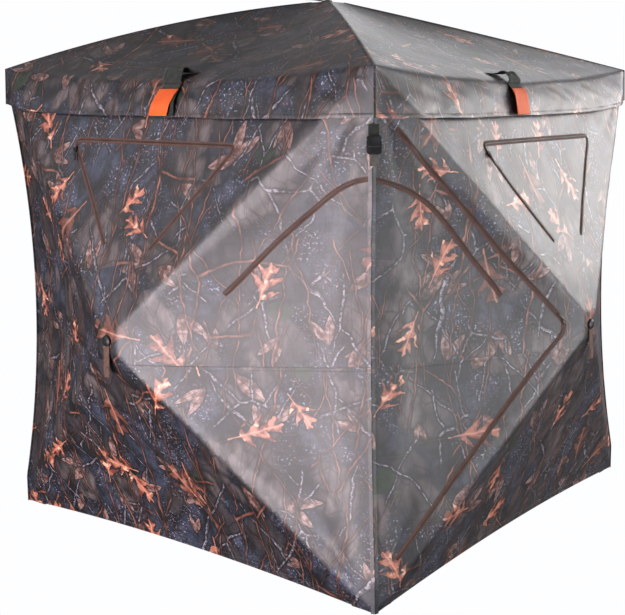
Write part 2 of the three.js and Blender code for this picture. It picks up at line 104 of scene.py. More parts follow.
# ---------- material nodes ----------
class Graph:
    """A material's nodes. Inputs may be numbers, tuples or the sockets of other nodes."""

    def __init__(self, name):
        self.material = bpy.data.materials.new(name)
        self.material.use_nodes = True
        self.tree = self.material.node_tree
        self.tree.nodes.clear()
        self.output = self.tree.nodes.new("ShaderNodeOutputMaterial")
        self.shader = self.tree.nodes.new("ShaderNodeBsdfPrincipled")
        self.tree.links.new(self.shader.outputs[0], self.output.inputs[0])

    def feed(self, socket, value):
        if isinstance(value, bpy.types.NodeSocket):
            self.tree.links.new(value, socket)
        elif isinstance(value, (tuple, list)) and len(value) == 3 and socket.type == "RGBA":
            socket.default_value = (*value, 1)
        else:
            socket.default_value = value

    def node(self, kind, inputs, out=0, **settings):
        made = self.tree.nodes.new("ShaderNode" + kind)
        for key, value in settings.items():
            setattr(made, key, value)
        for key, value in inputs.items():
            self.feed(made.inputs[key], value)
        return made.outputs[out]

    def math(self, operation, a, b=0.0, c=0.0):
        return self.node("Math", {0: a, 1: b, 2: c}, operation=operation)

    def add(self, a, b):
        return self.math("ADD", a, b)

    def times(self, a, b):
        return self.math("MULTIPLY", a, b)

    def vector(self, operation, a, b=(0, 0, 0), scale=None):
        inputs = {0: a, 1: b}
        if scale is not None:
            inputs = {0: a, "Scale": scale}
        return self.node("VectorMath", inputs, operation=operation)

    def split(self, value):
        made = self.tree.nodes.new("ShaderNodeSeparateXYZ")
        self.feed(made.inputs[0], value)
        return made.outputs

    def join(self, x, y, z=0.0):
        return self.node("CombineXYZ", {0: x, 1: y, 2: z})

    def attribute(self, name, out="Vector"):
        return self.node("Attribute", {}, out=out, attribute_name=name)

    def smooth(self, value, low, high):
        """0 below low, 1 above high; the other way round if low is above high."""
        turned = low > high
        first, last = (high, low) if turned else (low, high)
        ends = (1.0, 0.0) if turned else (0.0, 1.0)
        inputs = {"Value": value, "From Min": first, "From Max": last}
        inputs.update({"To Min": ends[0], "To Max": ends[1]})
        return self.node("MapRange", inputs, interpolation_type="SMOOTHSTEP")

    def mix(self, factor, a, b, blend="MIX"):
        made = self.tree.nodes.new("ShaderNodeMix")
        made.data_type = "RGBA"
        made.blend_type = blend
        self.feed(made.inputs["Factor"], factor)
        self.feed(made.inputs[6], a)
        self.feed(made.inputs[7], b)
        return made.outputs[2]

    def noise(self, vector, scale, detail=2.0, rough=0.5, distortion=0.0, out=0):
        inputs = {"Vector": vector, "Scale": scale, "Detail": detail}
        inputs.update({"Roughness": rough, "Distortion": distortion})
        return self.node("TexNoise", inputs, out=out)

    def voronoi(self, vector, scale, feature="F1", randomness=1.0, dims="2D"):
        made = self.tree.nodes.new("ShaderNodeTexVoronoi")
        made.voronoi_dimensions = dims
        made.feature = feature
        self.feed(made.inputs["Vector"], vector)
        made.inputs["Scale"].default_value = scale
        made.inputs["Randomness"].default_value = randomness
        return made.outputs

    def bump(self, height, strength, distance):
        inputs = {"Height": height, "Strength": strength, "Distance": distance}
        return self.node("Bump", inputs)

    def set(self, **inputs):
        for key, value in inputs.items():
            self.feed(self.shader.inputs[key.replace("_", " ")], value)


def scatter(g, place, cell, seed, share, turn_low=0.0, turn_high=2 * math.pi):
    """Coordinates round the middle of a stamp in each cell of the cloth, and 1 where there is one."""
    moved = g.vector("ADD", place, seed)
    found = g.voronoi(moved, 1 / cell, randomness=0.75)
    dice = g.split(found["Color"])
    local = g.vector("SUBTRACT", moved, found["Position"])
    inputs = {"Value": dice[0], "To Min": turn_low, "To Max": turn_high}
    angle = g.node("MapRange", inputs)
    turned = g.node("VectorRotate", {"Vector": local, "Angle": angle}, rotation_type="Z_AXIS")
    size = g.node("MapRange", {"Value": dice[2], "To Min": 0.8, "To Max": 1.2})
    grown = g.vector("SCALE", turned, scale=g.math("DIVIDE", 1.0, size))
    return g.split(grown), g.math("LESS_THAN", dice[1], share), dice[2]


def oak_leaf(g, place, cell, seed, share):
    """Mask, shade round it, rib, depth and dice of spiky lobed leaves."""
    half = 0.058
    axes, there, dice = scatter(g, place, cell, seed, share)
    wobble = g.noise(g.vector("ADD", place, seed), 26, detail=2)
    x = g.times(axes[0], 1 / half)
    y = g.times(g.math("ABSOLUTE", axes[1]), 1 / half)
    bend = g.times(g.add(wobble, -0.5), 1.1)
    side = g.times(g.math("SIGN", axes[1]), 0.18)
    phase = g.add(g.add(g.times(x, 1.3), g.times(y, -1.25)), g.add(side, bend))
    wave = g.math("ABSOLUTE", g.add(g.times(g.math("FRACT", phase), 2.0), -1.0))
    lobe = g.math("POWER", g.math("SUBTRACT", 1.0, wave), 1.5)
    round_it = g.math("SUBTRACT", 1.0, g.times(x, x))
    envelope = g.times(g.math("POWER", g.math("MAXIMUM", round_it, 0.0), 0.6), 0.86)
    border = g.times(envelope, g.add(g.times(lobe, 0.86), 0.14))
    depth = g.math("SUBTRACT", border, y)
    stem = g.times(g.smooth(y, 0.05, 0.025), g.smooth(g.math("ABSOLUTE", g.add(x, 1.15)), 0.4, 0.36))
    torn = g.smooth(g.noise(g.vector("ADD", place, seed), 20, detail=2), 0.30, 0.40)
    mask = g.times(g.math("MAXIMUM", g.smooth(depth, -0.03, 0.05), stem), g.times(there, torn))
    halo = g.times(g.smooth(depth, -0.3, 0.0), there)
    return mask, halo, g.smooth(y, 0.07, 0.015), depth, dice


def blade_pair(g, place, cell, seed, share, half, width, spread):
    """Mask, shade, midrib and how far along: pointed leaves, two to a stalk, `spread` from its line."""
    axes, there, _ = scatter(g, place, cell, seed, share)
    mirrored = g.join(g.add(axes[0], half), g.math("ABSOLUTE", axes[1]))
    blade = g.node("VectorRotate", {"Vector": mirrored, "Angle": -spread}, rotation_type="Z_AXIS")
    found = g.split(blade)
    x = g.times(g.add(found[0], -half), 1 / half)
    y = g.times(g.math("ABSOLUTE", found[1]), 1 / width)
    taper = g.math("SUBTRACT", 1.0, g.math("POWER", g.math("ABSOLUTE", x), 1.7))
    depth = g.math("SUBTRACT", taper, y)
    mask = g.times(g.smooth(depth, -0.06, 0.1), there)
    halo = g.times(g.smooth(depth, -0.5, 0.0), there)
    return mask, halo, g.smooth(y, 0.14, 0.03), x


def plate(g, place, cell, seed, share, half, width, soft):
    """Mask, shade and light across large blurred shapes, mostly upright."""
    axes, there, dice = scatter(g, place, cell, seed, share, 0.6, 2.5)
    x = g.times(axes[0], 1 / half)
    y = g.times(axes[1], 1 / width)
    reach = g.math("SQRT", g.add(g.math("POWER", g.math("ABSOLUTE", x), 2.6), g.times(y, y)))
    rough = g.times(g.add(g.noise(g.vector("ADD", place, seed), 11, detail=4, rough=0.6), -0.5), 1.3)
    depth = g.math("SUBTRACT", 1.0, g.add(reach, rough))
    mask = g.times(g.smooth(depth, -soft * 0.2, soft), there)
    return mask, g.times(g.smooth(depth, -0.5, 0.05), there), g.smooth(y, -0.9, 0.9), dice


def stripes(g, place, angle, pitch, width, seed, share, length, wander=0.15):
    """Long wandering stems: masks of the stems and of the shade beside them, and the place across."""
    turned = g.node(
        "VectorRotate",
        {"Vector": g.vector("ADD", place, seed), "Angle": angle},
        rotation_type="Z_AXIS",
    )
    middle = (0.5, 0.5, 0.5)
    broad = g.noise(g.vector("MULTIPLY", turned, (1, 0.8, 1)), 3.1, detail=3, rough=0.6, out="Color")
    fine = g.noise(turned, 24, detail=1, out="Color")
    push = g.vector("SCALE", g.vector("SUBTRACT", broad, middle), scale=wander)
    shake = g.vector("SCALE", g.vector("SUBTRACT", fine, middle), scale=0.012)
    axes = g.split(g.vector("ADD", turned, g.vector("ADD", push, shake)))
    across = g.times(axes[0], 1 / pitch)
    row = g.math("FLOOR", across)
    offset = g.add(g.math("FRACT", across), -0.5)
    distance = g.times(g.math("ABSOLUTE", offset), pitch)
    piece = g.noise(g.join(g.times(row, 7.31), g.times(axes[1], 1 / length)), 1.0, detail=0)
    there = g.smooth(piece, 1 - share - 0.015, 1 - share + 0.015)
    thick = g.times(g.node("MapRange", {"Value": piece, "From Min": 1 - share, "From Max": 0.8}), width)
    thick = g.math("MAXIMUM", thick, width * 0.35)
    edge = g.math("SUBTRACT", thick, distance)
    mask = g.times(g.smooth(edge, -0.0008, 0.0008), there)
    halo = g.times(g.smooth(edge, -0.009, 0.0), there)
    return mask, halo, g.smooth(g.times(offset, pitch / width), -0.9, 0.9)


def net(g, place, stretch, cell, width, seed, share, patch):
    """Forking twigs along the borders of stretched cells, kept in patches."""
    moved = g.vector("ADD", place, seed)
    warp = g.noise(moved, 7, detail=2, out="Color")
    pushed = g.vector("SCALE", g.vector("SUBTRACT", warp, (0.5, 0.5, 0.5)), scale=0.05)
    spot = g.vector("MULTIPLY", g.vector("ADD", moved, pushed), stretch)
    distance = g.times(g.voronoi(spot, 1 / cell, feature="DISTANCE_TO_EDGE")["Distance"], cell)
    kept = g.noise(moved, 1 / patch, detail=0)
    there = g.smooth(kept, 1 - share - 0.02, 1 - share + 0.02)
    edge = g.math("SUBTRACT", width, distance)
    mask = g.times(g.smooth(edge, -0.0008, 0.0008), there)
    halo = g.times(g.smooth(edge, -0.008, 0.0), there)
    return mask, halo, 0.5


def weave(g, place, pitch, strength):
    """Bump of a plain weave."""
    wide = g.node("TexWave", {"Vector": place, "Scale": 0.5 / pitch}, out="Fac", bands_direction="X")
    tall = g.node("TexWave", {"Vector": place, "Scale": 0.5 / pitch}, out="Fac", bands_direction="Y")
    return g.bump(g.math("MAXIMUM", wide, tall), strength, pitch * 0.3)


def camo_material():
    """Woodland print: blurred bark and leaves, pale branches, rust twigs and oak leaves over each other."""
    g = Graph("camo_cloth_print")
    flat = g.attribute("print")
    blur = g.vector("SUBTRACT", g.noise(flat, 75, detail=2, out="Color"), (0.5, 0.5, 0.5))
    place = g.vector("ADD", flat, g.vector("SCALE", blur, scale=0.006))
    shade = (0.004, 0.004, 0.007)

    def lay(under, mask, over, halo=0.0, dark=0.55, cover=1.0):
        """Lays a print over another, with a dark shade round it."""
        shaded = g.mix(g.times(halo, dark), under, shade)
        return g.mix(g.times(mask, cover), shaded, over)

    # Blue grey ground with lichen.
    broad = g.noise(place, 8, detail=8, rough=0.68)
    colour = g.mix(g.smooth(broad, 0.34, 0.64), (0.010, 0.013, 0.024), (0.118, 0.140, 0.205))
    tangle = g.noise(g.vector("MULTIPLY", place, (1, 0.5, 1)), 55, detail=4, rough=0.7)
    colour = g.mix(g.times(g.smooth(tangle, 0.48, 0.7), 0.55), colour, (0.15, 0.13, 0.155))
    colour = g.mix(g.times(g.smooth(tangle, 0.5, 0.3), 0.5), colour, shade)
    cloud = g.smooth(g.noise(place, 6, detail=1), 0.42, 0.56)
    speck = g.smooth(g.noise(place, 130, detail=2, rough=0.65), 0.56, 0.66)
    tint = g.mix(g.smooth(g.noise(place, 34), 0.4, 0.6), (0.46, 0.27, 0.25), (0.45, 0.50, 0.62))
    colour = g.mix(g.times(g.times(cloud, speck), 0.8), colour, tint)

    # Blurred plates of bark and dead leaves.
    streaks = g.noise(g.vector("MULTIPLY", place, (1, 0.4, 1)), 30, detail=5, rough=0.62)
    plates = (
        (0.225, (3.9, 2.2, 0), 0.50, 0.118, 0.074, 0.50),
        (0.175, (8.1, 6.6, 0), 0.46, 0.094, 0.052, 0.38),
        (0.130, (1.7, 4.4, 0), 0.34, 0.062, 0.032, 0.50),
    )
    for cell, seed, share, half, width, soft in plates:
        mask, halo, side, dice = plate(g, place, cell, seed, share, half, width, soft)
        bark = g.mix(g.smooth(streaks, 0.34, 0.66), (0.062, 0.052, 0.054), (0.245, 0.205, 0.205))
        bark = g.mix(g.times(side, 0.5), bark, (0.335, 0.285, 0.285))
        bark = g.mix(g.times(g.smooth(dice, 0.4, 0.9), 0.55), bark, (0.045, 0.045, 0.058))
        colour = lay(colour, mask, bark, halo, 0.35, 0.9)
    veins = g.voronoi(g.vector("MULTIPLY", place, (1, 0.45, 1)), 21, feature="DISTANCE_TO_EDGE")
    colour = g.mix(g.times(g.smooth(veins["Distance"], 0.05, 0.0), 0.35), colour, shade)

    # Blurred green leaves, then pale blades in pairs.
    mask = blade_pair(g, place, 0.42, (4.3, 1.7, 0), 0.36, 0.042, 0.027, 0.1)[0]
    green = g.mix(g.noise(place, 45), (0.025, 0.055, 0.03), (0.11, 0.17, 0.10))
    colour = g.mix(g.times(mask, 0.8), colour, green)
    blades = (
        (0.26, (1.1, 7.9, 0), 0.62, 0.048, 0.0145, 0.36),
        (0.22, (6.2, 2.6, 0), 0.45, 0.040, 0.0110, 0.28),
        (0.30, (2.8, 0.3, 0), 0.50, 0.052, 0.0170, 0.0),
    )
    for cell, seed, share, half, width, spread in blades:
        mask, halo, rib, along = blade_pair(g, place, cell, seed, share, half, width, spread)
        worn = g.smooth(g.add(g.noise(place, 60, detail=3), g.times(along, 0.12)), 0.3, 0.7)
        blade = g.mix(worn, (0.20, 0.092, 0.072), (0.50, 0.36, 0.33))
        blade = g.mix(g.times(rib, 0.5), blade, (0.11, 0.05, 0.045))
        colour = lay(colour, mask, blade, halo, 0.55, 0.9)

    # Pale mottled branches and their forks.
    mottle = g.smooth(g.noise(place, 80, detail=3, rough=0.7), 0.36, 0.62)
    pale = g.mix(mottle, (0.075, 0.075, 0.10), (0.50, 0.46, 0.52))
    branches = (
        stripes(g, place, 0.62, 0.25, 0.0060, (2.2, 0.4, 0), 0.5, 0.25),
        stripes(g, place, -0.72, 0.23, 0.0052, (5.1, 3.3, 0), 0.5, 0.22),
        stripes(g, place, 0.2, 0.31, 0.0062, (8.8, 5.9, 0), 0.42, 0.24),
        net(g, place, (1, 0.7, 1), 0.13, 0.0022, (8.4, 1.2, 0), 0.46, 0.16),
    )
    for mask, halo, side in branches:
        round_branch = g.mix(g.times(side, 0.55), pale, (0.07, 0.07, 0.09))
        colour = lay(colour, mask, round_branch, halo, 0.65)

    # Rust twigs, most of them upright.
    aged = g.smooth(g.noise(place, 24, detail=3), 0.35, 0.65)
    rust = g.mix(aged, (0.22, 0.078, 0.046), (0.50, 0.255, 0.18))
    twigs = (
        stripes(g, place, 0.10, 0.115, 0.0046, (3.7, 9.2, 0), 0.57, 0.62, 0.12),
        stripes(g, place, -0.12, 0.15, 0.0040, (7.7, 4.1, 0), 0.56, 0.45, 0.14),
        stripes(g, place, -0.62, 0.21, 0.0026, (0.9, 6.6, 0), 0.48, 0.3),
        stripes(g, place, 0.55, 0.19, 0.0024, (6.9, 0.6, 0), 0.46, 0.26),
        net(g, place, (1, 0.42, 1), 0.10, 0.0014, (4.9, 8.8, 0), 0.44, 0.17),
    )
    for mask, halo, side in twigs:
        round_twig = g.mix(g.times(side, 0.6), rust, (0.09, 0.02, 0.012))
        colour = lay(colour, mask, round_twig, halo)

    # Oak leaves on top.
    for seed, share, cell in (((9.3, 0.8, 0), 0.52, 0.24), ((2.7, 5.5, 0), 0.48, 0.26)):
        mask, halo, rib, depth, dice = oak_leaf(g, place, cell, seed, share)
        patch = g.smooth(g.add(g.noise(place, 34, detail=3), g.times(depth, 0.3)), 0.42, 0.70)
        leaf = g.mix(patch, (0.29, 0.082, 0.044), (0.52, 0.25, 0.165))
        bleached = g.smooth(g.noise(g.vector("ADD", place, seed), 40), 0.56, 0.68)
        leaf = g.mix(bleached, leaf, (0.66, 0.47, 0.36))
        leaf = g.mix(g.times(g.smooth(dice, 0.6, 0.8), 0.7), leaf, (0.17, 0.062, 0.045))
        leaf = g.mix(g.times(rib, 0.4), leaf, (0.72, 0.45, 0.33))
        colour = lay(colour, mask, leaf, halo)

    colour = g.node("HueSaturation", {"Color": colour, "Saturation": 0.80})
    colour = g.node("Gamma", {"Color": colour, "Gamma": 1.8})
    colour = g.node("VectorMath", {0: colour, "Scale": 1.95}, operation="SCALE")
    grain = g.noise(place, 420, detail=1)
    colour = g.mix(0.15, colour, g.mix(grain, (0.0, 0.0, 0.0), (0.5, 0.5, 0.5)), "OVERLAY")
    # Pale ink lies smoother than dark ink.
    light = g.smooth(g.node("RGBToBW", {0: colour}), 0.01, 0.26)
    uneven = g.times(g.noise(place, 7, detail=3), 0.10)
    rough = g.math("SUBTRACT", g.add(0.425, uneven), g.times(light, 0.045))
    g.set(Base_Color=colour, Roughness=rough, Normal=weave(g, flat, 0.0011, 0.2))
    g.shader.inputs["Specular IOR Level"].default_value = 0.93
    g.shader.inputs["Sheen Weight"].default_value = 0.1
    g.shader.inputs["Sheen Roughness"].default_value = 0.4
    return g.material


def cloth_material(name, low, high, pitch=0.0012, rough=(0.75, 0.9), strength=0.4, sheen=0.1):
    """A plain woven cloth or tape that varies a little between two colours."""
    g = Graph(name)
    place = g.attribute("print")
    patch = g.noise(place, 18, detail=4, rough=0.6)
    thread = g.noise(g.vector("MULTIPLY", place, (1, 0.15, 1)), 700, detail=1)
    mottled = g.add(g.times(patch, 0.6), g.times(thread, 0.4))
    colour = g.mix(g.smooth(mottled, 0.3, 0.7), low, high)
    gloss = g.node("MapRange", {"Value": thread, "To Min": rough[0], "To Max": rough[1]})
    g.set(Base_Color=colour, Roughness=gloss, Normal=weave(g, place, pitch, strength))
    g.shader.inputs["Sheen Weight"].default_value = sheen
    return g.material


def webbing_material(name, low, high):
    """Webbing: ribs and a twill across it."""
    g = Graph(name)
    place = g.attribute("print")
    axes = g.split(place)
    rib = g.math("SINE", g.times(axes[1], 2 * math.pi / 0.0024))
    twill = g.math("SINE", g.times(g.add(axes[0], g.times(axes[1], 0.5)), 2 * math.pi / 0.0016))
    height = g.add(g.times(rib, 0.6), g.times(twill, 0.4))
    worn = g.noise(place, 60, detail=4)
    # Wear, and painted shade: the colour also follows the weave's height, so the grooves between the ribs
    # are painted darker.
    shade = g.add(g.times(worn, 0.75), g.times(height, 0.12))
    colour = g.mix(g.smooth(shade, 0.2, 0.6), low, high)
    g.set(Base_Color=colour, Roughness=0.82, Normal=g.bump(height, 0.6, 0.0004))
    g.shader.inputs["Sheen Weight"].default_value = 0.15
    return g.material


def hard_material(name, low, high, rough, metal=0.0, grain=900, bump=0.15):
    """Moulded plastic, metal or fibreglass, by position on the object."""
    g = Graph(name)
    place = g.node("TexCoord", {}, out="Object")
    fine = g.noise(place, grain, detail=2)
    broad = g.noise(place, 22, detail=5, rough=0.65)
    colour = g.mix(g.smooth(broad, 0.35, 0.7), low, high)
    gloss = g.node("MapRange", {"Value": broad, "To Min": rough[0], "To Max": rough[1]})
    g.set(Base_Color=colour, Roughness=gloss, Metallic=metal, Normal=g.bump(fine, bump, 0.0003))
    return g.material


camo = camo_material()
coated = cloth_material("black_coating", (0.008, 0.008, 0.009), (0.02, 0.02, 0.022), 0.001, (0.5, 0.65))
tape_cloth = cloth_material("zipper_tape_cloth", (0.080, 0.036, 0.028), (0.150, 0.076, 0.060), 0.0009)
orange = cloth_material("orange_flag_cloth", (0.82, 0.105, 0.012), (0.93, 0.155, 0.02), 0.0008, (0.55, 0.7))
thread = cloth_material("stitching_thread", (0.10, 0.085, 0.07), (0.2, 0.17, 0.14), 0.0006)
dark_web = webbing_material("black_webbing_weave", (0.008, 0.012, 0.009), (0.03, 0.038, 0.03))
brown_web = webbing_material("brown_webbing_weave", (0.085, 0.042, 0.03), (0.18, 0.105, 0.075))
grey_web = webbing_material("grey_webbing_weave", (0.07, 0.065, 0.055), (0.16, 0.15, 0.135))
plastic = hard_material("moulded_black_plastic", (0.008, 0.009, 0.01), (0.025, 0.027, 0.03), (0.38, 0.55))
tooth_plastic = hard_material("zipper_coil", (0.05, 0.034, 0.026), (0.09, 0.065, 0.05), (0.35, 0.5))
metal = hard_material("zipper_slider_metal", (0.05, 0.045, 0.04), (0.12, 0.11, 0.1), (0.3, 0.5), 0.8)
rod = hard_material("fibreglass_rod", (0.02, 0.021, 0.023), (0.05, 0.052, 0.056), (0.25, 0.4))


def screen_material():
    g = Graph("see_through_mesh")
    place = g.attribute("print")
    hole = g.voronoi(place, 1 / 0.0022, randomness=0.15)["Distance"]
    # Painted shade: the holes are painted near black for the dark inside seen through them; the threads
    # between them are lighter.
    colour = g.mix(g.smooth(hole, 0.25, 0.5), (0.004, 0.004, 0.004), (0.035, 0.036, 0.032))
    blotch = g.smooth(g.noise(place, 9, detail=3), 0.45, 0.6)
    colour = g.mix(g.times(blotch, 0.5), colour, (0.06, 0.055, 0.045))
    g.set(Base_Color=colour, Roughness=0.85, Normal=g.bump(hole, 0.5, 0.0008))
    g.shader.inputs["Alpha"].default_value = 0.82
    return g.material


mesh_cloth = screen_material()


# ---------- the shape of a wall, facing -Y: u is across, z is up, n is how far out ----------
def corner_bow(z):
    along = (z - EAVE / 2) / (EAVE / 2 - BOW_START)
    return np.where(np.abs(along) >= 1, 0.0, CORNER_BOW * (1 - along**2))


def eave_sag(u):
    return EAVE_SAG * (1 - (u / HALF) ** 2)


def hem_height(share):
    return HEM_LIFT + HEM_RISE * (1 - share**2)


def wall_base(u, z):
    """How far out the stretched cloth lies, and which panel (0 side, 1 bottom, 2 top) it is on."""
    u, z = np.asarray(u, float), np.asarray(z, float)
    reach = np.abs(u)
    rise = 2 * FLAT / (TOP - HEM_LIFT)
    s = (reach - FLAT) / (REACH - FLAT)
    for _ in range(6):
        safe = np.maximum(s, 1e-3)
        edge_z = (z - (1 - safe) * (LOW - rise * HEM_LIFT)) / (safe + (1 - safe) * rise)
        bow = corner_bow(edge_z)
        s = (reach - FLAT) / (REACH - bow - FLAT)
    side = FACE - s * (BULGE + bow)
    s = (LOW - z) / (LOW - HEM_LIFT)
    for _ in range(4):
        share = np.clip(u / (FLAT + (REACH - FLAT) * np.maximum(s, 0)), -1, 1)
        s = (LOW - z) / (LOW - hem_height(share))
    bottom = FACE - BULGE * s
    top = HALF + TOP_SLOPE * (EAVE - z)
    stack = np.stack([side, bottom, top])
    return np.minimum(stack.min(0), FACE), stack.argmin(0)


def tip_hold(share, nearness):
    """How much less of a hub's travel the cloth follows near the tips of the poles, so that it stays on
    their outer side when the hub is pushed in. Nearness is 1 on the lines over the poles."""
    at_tip = TIP_INSET / (HALF - FLAT)
    held = np.minimum(share / at_tip, np.clip(1 - (share - at_tip) / 0.32, 0, 1))
    return 0.026 * held * np.abs(nearness) ** 6


def hub_share(u, z):
    """How much of the wall hub's travel a point of the cloth follows."""
    base, panel = wall_base(u, z)
    w = np.clip((base - HALF) / BULGE, 0, 1)
    half = FLAT + (REACH - FLAT) * (1 - w)
    along = np.where(panel == 0, np.asarray(z) - HUB_Z, np.asarray(u))
    nearness = np.clip(along / half, -1, 1)
    return np.clip(w - tip_hold(w, nearness), 0, 1)


def slack(u, z):
    """How far the cloth sinks between its poles, with soft folds towards the corners."""
    base, panel = wall_base(u, z)
    w = np.clip((base - HALF) / BULGE, 0, 1)
    half = FLAT + (REACH - FLAT) * (1 - w)
    share = np.clip(np.where(panel == 0, (z - HUB_Z) / half, u / half), -1, 1)
    hollow = w * (1 - w) ** 2 * (1 - share**2) * 27 / 4
    depth = np.where(panel == 0, 0.012, np.where(panel == 1, 0.011, 0.007))
    sunk = hollow * depth
    for corner_u in (-HALF, HALF):
        for corner_z in (0.0, EAVE):
            du, dz = u - corner_u, z - corner_z
            away = np.hypot(du, dz)
            angle = np.arctan2(dz, du)
            fold = np.sin(angle * 19 + corner_u * 3 + corner_z * 2) * np.exp(-away / 0.28)
            fine = np.sin(angle * 47 + away * 9 + corner_u * 5) * np.exp(-away / 0.2)
            deep, shallow = (0.0036, 0.0024) if corner_z > 0 else (0.0026, 0.0008)
            depth = deep * fold + shallow * fine
            sunk = sunk + depth * np.clip(away / 0.07, 0, 1) * np.clip(w * 12, 0, 1)
    return sunk


def soft_noise(points, scale, seed):
    return np.array([noise.noise(Vector((p[0] * scale, p[1] * scale, seed))) for p in points])


def wall_points(u, z, proud=0.0, seed=0.0):
    """Points on a wall's cloth, in the frame of the wall, standing proud of it by a distance."""
    u, z = np.asarray(u, float), np.asarray(z, float)
    base, _ = wall_base(u, z)
    w = np.clip((base - HALF) / BULGE, 0, 1)
    ripple = soft_noise(np.stack([u, z], 1), 4.2, seed) * 0.0045
    ripple += soft_noise(np.stack([u * 1.3, z], 1), 11.0, seed + 5) * 0.0013
    free = np.clip(w * 6, 0, 1) * np.clip((1 - w) * 6, 0, 1)
    out = base - slack(u, z) + ripple * free + np.asarray(proud) * 1.06
    return np.stack([u, -out, z], 1)


def turned(points, wall):
    angle = math.radians(TURNS[wall])
    c, s = round(math.cos(angle)), round(math.sin(angle))
    x, y = points[:, 0], points[:, 1]
    return np.stack([c * x - s * y, s * x + c * y, points[:, 2]], 1)


WALL_SEED = {"front": 0.0, "right": 10.0, "back": 20.0, "left": 30.0}
# Where on the printed cloth each wall is cut from, and how far from it the part below the seam is cut.
PRINT_SHIFT = {"front": (0.0, 0.0), "right": (2.13, 0.31), "back": (4.4, 0.12), "left": (6.9, 0.5)}
LOWER_CUT = (0.43, -0.27)


# ---------- making pieces ----------
def mesh_object(name, points, faces, materials, prints=None, smooth=True):
    mesh = bpy.data.meshes.new(name)
    mesh.from_pydata([tuple(p) for p in points], [], [tuple(f) for f in faces])
    made = bpy.data.objects.new(name, mesh)
    bpy.context.scene.collection.objects.link(made)
    for material in materials:
        mesh.materials.append(material)
    if prints is not None:
        corners = len(prints) == len(mesh.loops)
        values = np.zeros((len(prints), 3), np.float32)
        values[:, : prints.shape[1]] = prints
        held = mesh.attributes.new("print", "FLOAT_VECTOR", "CORNER" if corners else "POINT")
        held.data.foreach_set("vector", values.ravel())
    mesh.polygons.foreach_set("use_smooth", [smooth] * len(mesh.polygons))
    mesh.update()
    if smooth:
        mesh.set_sharp_from_angle(angle=math.radians(50))
    return made


def thicken(made, thickness, lining=None):
    """Gives a sheet its thickness inward, with another material on its inner face. Its border is marked
    sharp, so that the thin rim does not bend the shading beside it."""
    mesh = made.data
    edges_used = np.zeros(len(mesh.loops), np.int32)
    mesh.loops.foreach_get("edge_index", edges_used)
    border = np.bincount(edges_used, minlength=len(mesh.edges)) == 1
    sharp = np.zeros(len(mesh.edges), bool)
    mesh.edges.foreach_get("use_edge_sharp", sharp)
    mesh.edges.foreach_set("use_edge_sharp", sharp | border)
    solid = made.modifiers.new("thickness", "SOLIDIFY")
    solid.thickness = thickness
    solid.offset = -1
    solid.use_even_offset = False
    if lining is not None:
        made.data.materials.append(lining)
        solid.material_offset = len(made.data.materials) - 1
    return made


def share_blend(made):
    """Bakes a piece's place into its points."""
    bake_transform(made)
    made.data.update()
    return made


def on_hub(made, shares):
    """Cloth on a wall's hub, with its place baked into its points; its shares are not used."""
    return share_blend(made)


def on_hub_at(made, flat):
    """Cloth on a wall's hub: works out the wall's hub shares at its flat places (u, z), and bakes its place
    into its points.
    """
    return on_hub(made, hub_share(flat[:, 0], flat[:, 1]))


def inside(points, outline):
    """Whether each point lies inside a closed outline."""
    result = np.zeros(len(points), bool)
    x, y = points[:, 0], points[:, 1]
    for (ax, ay), (bx, by) in zip(outline, np.roll(outline, -1, 0)):
        crosses = (ay > y) != (by > y)
        with np.errstate(divide="ignore", invalid="ignore"):
            at = ax + (y - ay) * (bx - ax) / (by - ay)
        result ^= crosses & (x < at)
    return result


def dense(outline, pitch, closed=True):
    """The outline with points no further apart than the pitch."""
    outline = [np.array(p, float) for p in outline]
    ends = outline[1:] + outline[:1] if closed else outline[1:]
    points = []
    for a, b in zip(outline, ends):
        count = max(1, round(np.linalg.norm(b - a) / pitch))
        points += [a + (b - a) * k / count for k in range(count)]
    if not closed:
        points.append(outline[-1])
    return np.array(points)


def window_outline(inset=0.0, steps=8):
    """Lower left, lower right, then round the two upper corners."""
    rise, run = WINDOW_HIGH - WINDOW_LOW, WINDOW_HIGH_HALF - WINDOW_LOW_HALF
    slant = math.hypot(rise, run)

    def half_at(z):
        return WINDOW_LOW_HALF + run * (z - WINDOW_LOW) / rise - inset * slant / rise

    low, high = WINDOW_LOW + inset, WINDOW_HIGH - inset
    corner = np.array([half_at(high), high])
    first = np.array([half_at(high - WINDOW_ROUND), high - WINDOW_ROUND])
    last = corner - np.array([WINDOW_ROUND, 0])
    t = np.linspace(0, 1, steps)[:, None]
    right = (1 - t) ** 2 * first + 2 * t * (1 - t) * corner + t**2 * last
    left = right[::-1] * np.array([-1, 1])
    bottom = np.array([[-half_at(low), low], [half_at(low), low]])
    return np.concatenate([bottom, right, left])


def door_outline(hinge=DOOR_HINGE_U):
    return np.array([[hinge, DOOR_FOOT_Z], list(DOOR_TIP), [hinge, DOOR_TOP_Z]])


def wall_border(pitch):
    zs = np.linspace(HEM_LIFT, TOP, round(EAVE / pitch))
    us = np.linspace(-REACH, REACH, round(2 * REACH / pitch))
    bottom = np.stack([us, hem_height(us / REACH)], 1)
    right = np.stack([REACH - corner_bow(zs), zs], 1)
    top = np.stack([us[::-1], EAVE - EAVE_GAP - eave_sag(us[::-1])], 1)
    left = right[::-1] * np.array([-1, 1])
    return np.concatenate([bottom[:-1], right[:-1], top[:-1], left[:-1]])


